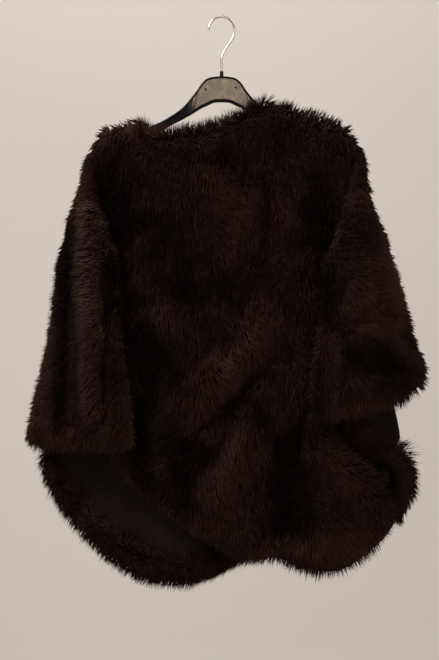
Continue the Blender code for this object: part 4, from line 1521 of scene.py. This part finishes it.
clear_selection()
bpy.ops.mesh.primitive_plane_add(size=2, location=(0, 0, 0), rotation=(math.pi / 2, 0, 0))
arms = bpy.context.object
arms.name = "hanger_arms"
bpy.ops.object.transform_apply(location=True, rotation=True, scale=True)
arms.data.materials.append(plastic)
arms.data.materials.append(painted_shade_plastic)
bpy.ops.object.mode_set(mode="EDIT")
edit = bmesh.from_edit_mesh(arms.data)
rows = smooth_curve(HANGER_EDGES, 4)[1:]
first = rows[0]
for corner in edit.verts:
    across = math.copysign(first[0], corner.co.x)
    height = first[1] if corner.co.z > 0 else first[2]
    corner.co = ((ARM_MIDDLE + across) * MM, -ARM_HALF_DEPTH * MM, height * MM)
bmesh.update_edit_mesh(arms.data)
for way in (-1, 1):
    for before, row in zip(rows, rows[1:]):
        edit = bmesh.from_edit_mesh(arms.data)
        bpy.ops.mesh.select_all(action="DESELECT")
        bpy.ops.mesh.select_mode(type="EDGE")
        end = (ARM_MIDDLE + way * before[0]) * MM
        for edge in edit.edges:
            edge.select_set(all(abs(corner.co.x - end) < 1e-6 for corner in edge.verts))
        bmesh.update_edit_mesh(arms.data)
        extrude(way * (row[0] - before[0]) * MM, 0, 0)
        edit = bmesh.from_edit_mesh(arms.data)
        moved = sorted((corner for corner in edit.verts if corner.select), key=lambda corner: corner.co.z)
        moved[0].co.z, moved[-1].co.z = row[2] * MM, row[1] * MM
        bmesh.update_edit_mesh(arms.data)
bpy.ops.mesh.select_all(action="SELECT")
extrude(0, 2 * ARM_HALF_DEPTH * MM, 0)
turn_faces_out()


def web_corners(edit):
    """The corners of the chosen faces, with how far out and how high up the web each one is."""
    for corner in {corner for face in edit.faces if face.select for corner in face.verts}:
        out = abs(corner.co.x / MM - ARM_MIDDLE)
        middle = (column(HANGER_EDGES, out, 1) + column(HANGER_EDGES, out, 2)) / 2
        yield corner, out, corner.co.z / MM - middle


for way in (-1, 1):
    chosen_faces(arms, lambda face: face.normal.y * way > 0.9)
    bpy.ops.mesh.inset(thickness=RIM * MM, depth=0)
    edit = bmesh.from_edit_mesh(arms.data)
    for corner, out, up in web_corners(edit):
        if up < 0:
            corner.co.z += LOWER_RIM * (1 - ease((out - 60) / 60)) * MM
    bmesh.update_edit_mesh(arms.data)
    bpy.ops.mesh.inset(thickness=0.8 * MM, depth=-SUNK * MM)
    edit = bmesh.from_edit_mesh(arms.data)
    for corner, out, up in web_corners(edit):
        corner.co.y += way * math.copysign(TWIST * ease((out - 42) / 16), up) * MM
    bmesh.update_edit_mesh(arms.data)
edit = bmesh.from_edit_mesh(arms.data)
for corner in edit.verts:
    out = abs(corner.co.x / MM - ARM_MIDDLE)
    if abs(corner.co.z / MM - column(HANGER_EDGES, out, 2)) < 0.7:
        corner.co.y *= LEAN_LOWER
    elif abs(corner.co.z / MM - column(HANGER_EDGES, out, 1)) < 0.7:
        corner.co.y *= LEAN_UPPER
bmesh.update_edit_mesh(arms.data)
round_sharp_edges(38, EDGE_ROUND)
for way in (-1, 1):
    chosen_faces(arms, lambda face: face.normal.y * way > 0.975 and face.calc_area() > 12 * MM * MM)
    bpy.ops.mesh.inset(thickness=0.3 * MM, depth=0)
# Painted shade: every face but the large flat ones of the web takes the darker copy of the plastic.
chosen_faces(arms, lambda face: abs(face.normal.y) > 0.975 and face.calc_area() > 8 * MM * MM)
bpy.ops.mesh.select_all(action="INVERT")
arms.active_material_index = 1
bpy.ops.object.material_slot_assign()
leave_edit_smooth(50)
print("arms:", len(arms.data.polygons), "faces")

# %% [markdown]
# Two little sink marks from the mould show on the plate as dark dots. Each is a thin round disc
# that lies just on the web, with its middle sunk a little, and is painted nearly black: painted
# shade, for the shade in the dimple.

# %% Marks of the mould
MARKS = ((-27.9, -118.5), (21.8, -115.5))
MARK_RADIUS = 2.1
MARK_DEPTH = 0.6


def mould_mark(number, x, z):
    clear_selection()
    spot = arms.ray_cast((x * MM, -60 * MM, z * MM), (0, 1, 0))[1]
    y = spot.y / MM - 0.12
    print("mark", number, "lies on the web at", round(spot.y / MM, 2), "mm")
    bpy.ops.mesh.primitive_circle_add(
        vertices=20, radius=MARK_RADIUS * MM, fill_type="NGON",
        location=(x * MM, y * MM, z * MM), rotation=(math.pi / 2, 0, 0),
    )
    mark = bpy.context.object
    mark.name = f"mould_mark_{number}"
    bpy.ops.object.transform_apply(location=True, rotation=True, scale=True)
    bpy.ops.object.mode_set(mode="EDIT")
    bpy.ops.mesh.select_all(action="SELECT")
    extrude(0, MARK_DEPTH * MM, 0)
    turn_faces_out()
    chosen_faces(mark, lambda face: face.normal.y < -0.9)
    bpy.ops.mesh.inset(thickness=0.3 * MM, depth=0)
    bpy.ops.mesh.inset(thickness=0.2 * MM, depth=-0.08 * MM)
    leave_edit_smooth(40)
    mark.data.materials.append(mark_shade_finish)
    return mark


mark_shade_finish = plain_finish("dimple with painted shade", (0.004, 0.004, 0.004), 0.8)
bpy.context.view_layer.update()
marks = [mould_mark(number, x, z) for number, (x, z) in enumerate(MARKS)]
print(len(marks), "marks")

# %% [markdown]
# The hook is one bent wire. A round wire is a circle carried along a route, so it is drawn as a
# curve with a round bevel and then made a mesh, with the same route as the solid's.

# %% Hook wire and its collar
WIRE_RADIUS = 1.9
HOOK_RADIUS = 21.3
COLLAR_RADIUS = 3.1
COLLAR_LENGTH = 8.4
COLLAR_MIDDLE = -92.5
HOOK_SHANK = (
    # x, z
    (17.8, -31),
    (12.6, -40),
    (6.0, -50),
    (1.2, -58),
    (-1.3, -66),
    (ARM_MIDDLE, -76),
    (ARM_MIDDLE, -88),
)
turns = np.radians(np.arange(182, -10, -12))
arc_x = ARM_MIDDLE + HOOK_RADIUS * np.cos(turns)
arc_z = WIRE_RADIUS - HOOK_RADIUS * (1 - np.sin(turns))
arc = np.stack([arc_x, arc_z], axis=-1)
route = along(smooth_curve(np.vstack([arc, HOOK_SHANK]), 6), np.linspace(0, 1, 90))
clear_selection()
wire_curve = bpy.data.curves.new("hanger_wire", "CURVE")
wire_curve.dimensions = "3D"
wire_curve.bevel_depth = WIRE_RADIUS * MM
wire_curve.bevel_resolution = 6
wire_curve.use_fill_caps = True
spline = wire_curve.splines.new("POLY")
spline.points.add(len(route) - 1)
for point, (x, z) in zip(spline.points, route):
    point.co = (x * MM, 0, z * MM, 1)
wire = bpy.data.objects.new("hanger_wire", wire_curve)
bpy.context.scene.collection.objects.link(wire)
wire.select_set(True)
bpy.context.view_layer.objects.active = wire
bpy.ops.object.convert(target="MESH")
wire = bpy.context.object
bpy.ops.object.shade_smooth_by_angle(angle=math.radians(50))
wire.data.materials.clear()
wire.data.materials.append(chrome)

clear_selection()
bpy.ops.mesh.primitive_cylinder_add(
    vertices=32, radius=COLLAR_RADIUS * MM, depth=COLLAR_LENGTH * MM,
    location=(ARM_MIDDLE * MM, 0, COLLAR_MIDDLE * MM),
)
collar = bpy.context.object
collar.name = "hanger_ferrule"
bpy.ops.object.transform_apply(location=True, rotation=True, scale=True)
bpy.ops.object.mode_set(mode="EDIT")
chosen_faces(collar, lambda face: face.normal.z > 0.9)
bpy.ops.transform.resize(value=(0.94, 0.94, 1))
round_sharp_edges(50, 0.5)
leave_edit_smooth(50)
collar.data.materials.append(painted_shade_plastic)
print("wire:", len(wire.data.polygons), "faces; ferrule:", len(collar.data.polygons), "faces")

# %% [markdown]
# Every piece rides on the one body. The cloths and the hanger's pieces take the place of the
# solids. Each area is what the cloth's own mesh measures.

# %% Riding on the body
for piece, nodes, slot in (
    (front_cloth, ["front_panel"], "fur"),
    (back_cloth, ["back_panel"], "fur"),
    (left_cloth, ["sleeve_left"], "fur"),
    (right_cloth, ["sleeve_right"], "fur"),
    (lining, ["back_lining"], "lining"),
    (hem_left_cloth, ["hem_facing_left"], "fur"),
    (hem_right_cloth, ["hem_facing_right"], "fur"),
    (arms, ["hanger_body"], "black_plastic"),
    (wire, ["hanger_hook"], "chromed_wire"),
    (collar, ["hanger_collar"], "black_plastic"),
):
    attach(piece, "root")
    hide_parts(*nodes)
for piece in [*front_fur, *back_fur, left_fur, right_fur, hem_left_fur, hem_right_fur]:
    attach(piece, "root")
for piece in marks:
    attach(piece, "root")
drawn_box = [list(corner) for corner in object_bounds()]
for k, letter in enumerate("xyz"):
    low = 1000 * (solid_box[0][k] - drawn_box[0][k])
    high = 1000 * (drawn_box[1][k] - solid_box[1][k])
    side = 1000 * (solid_box[1][k] - solid_box[0][k])
    allowed = 0.03 * side + 10
    print(letter, "past the solids by", round(low, 1), "and", round(high, 1), "of", round(allowed, 1))
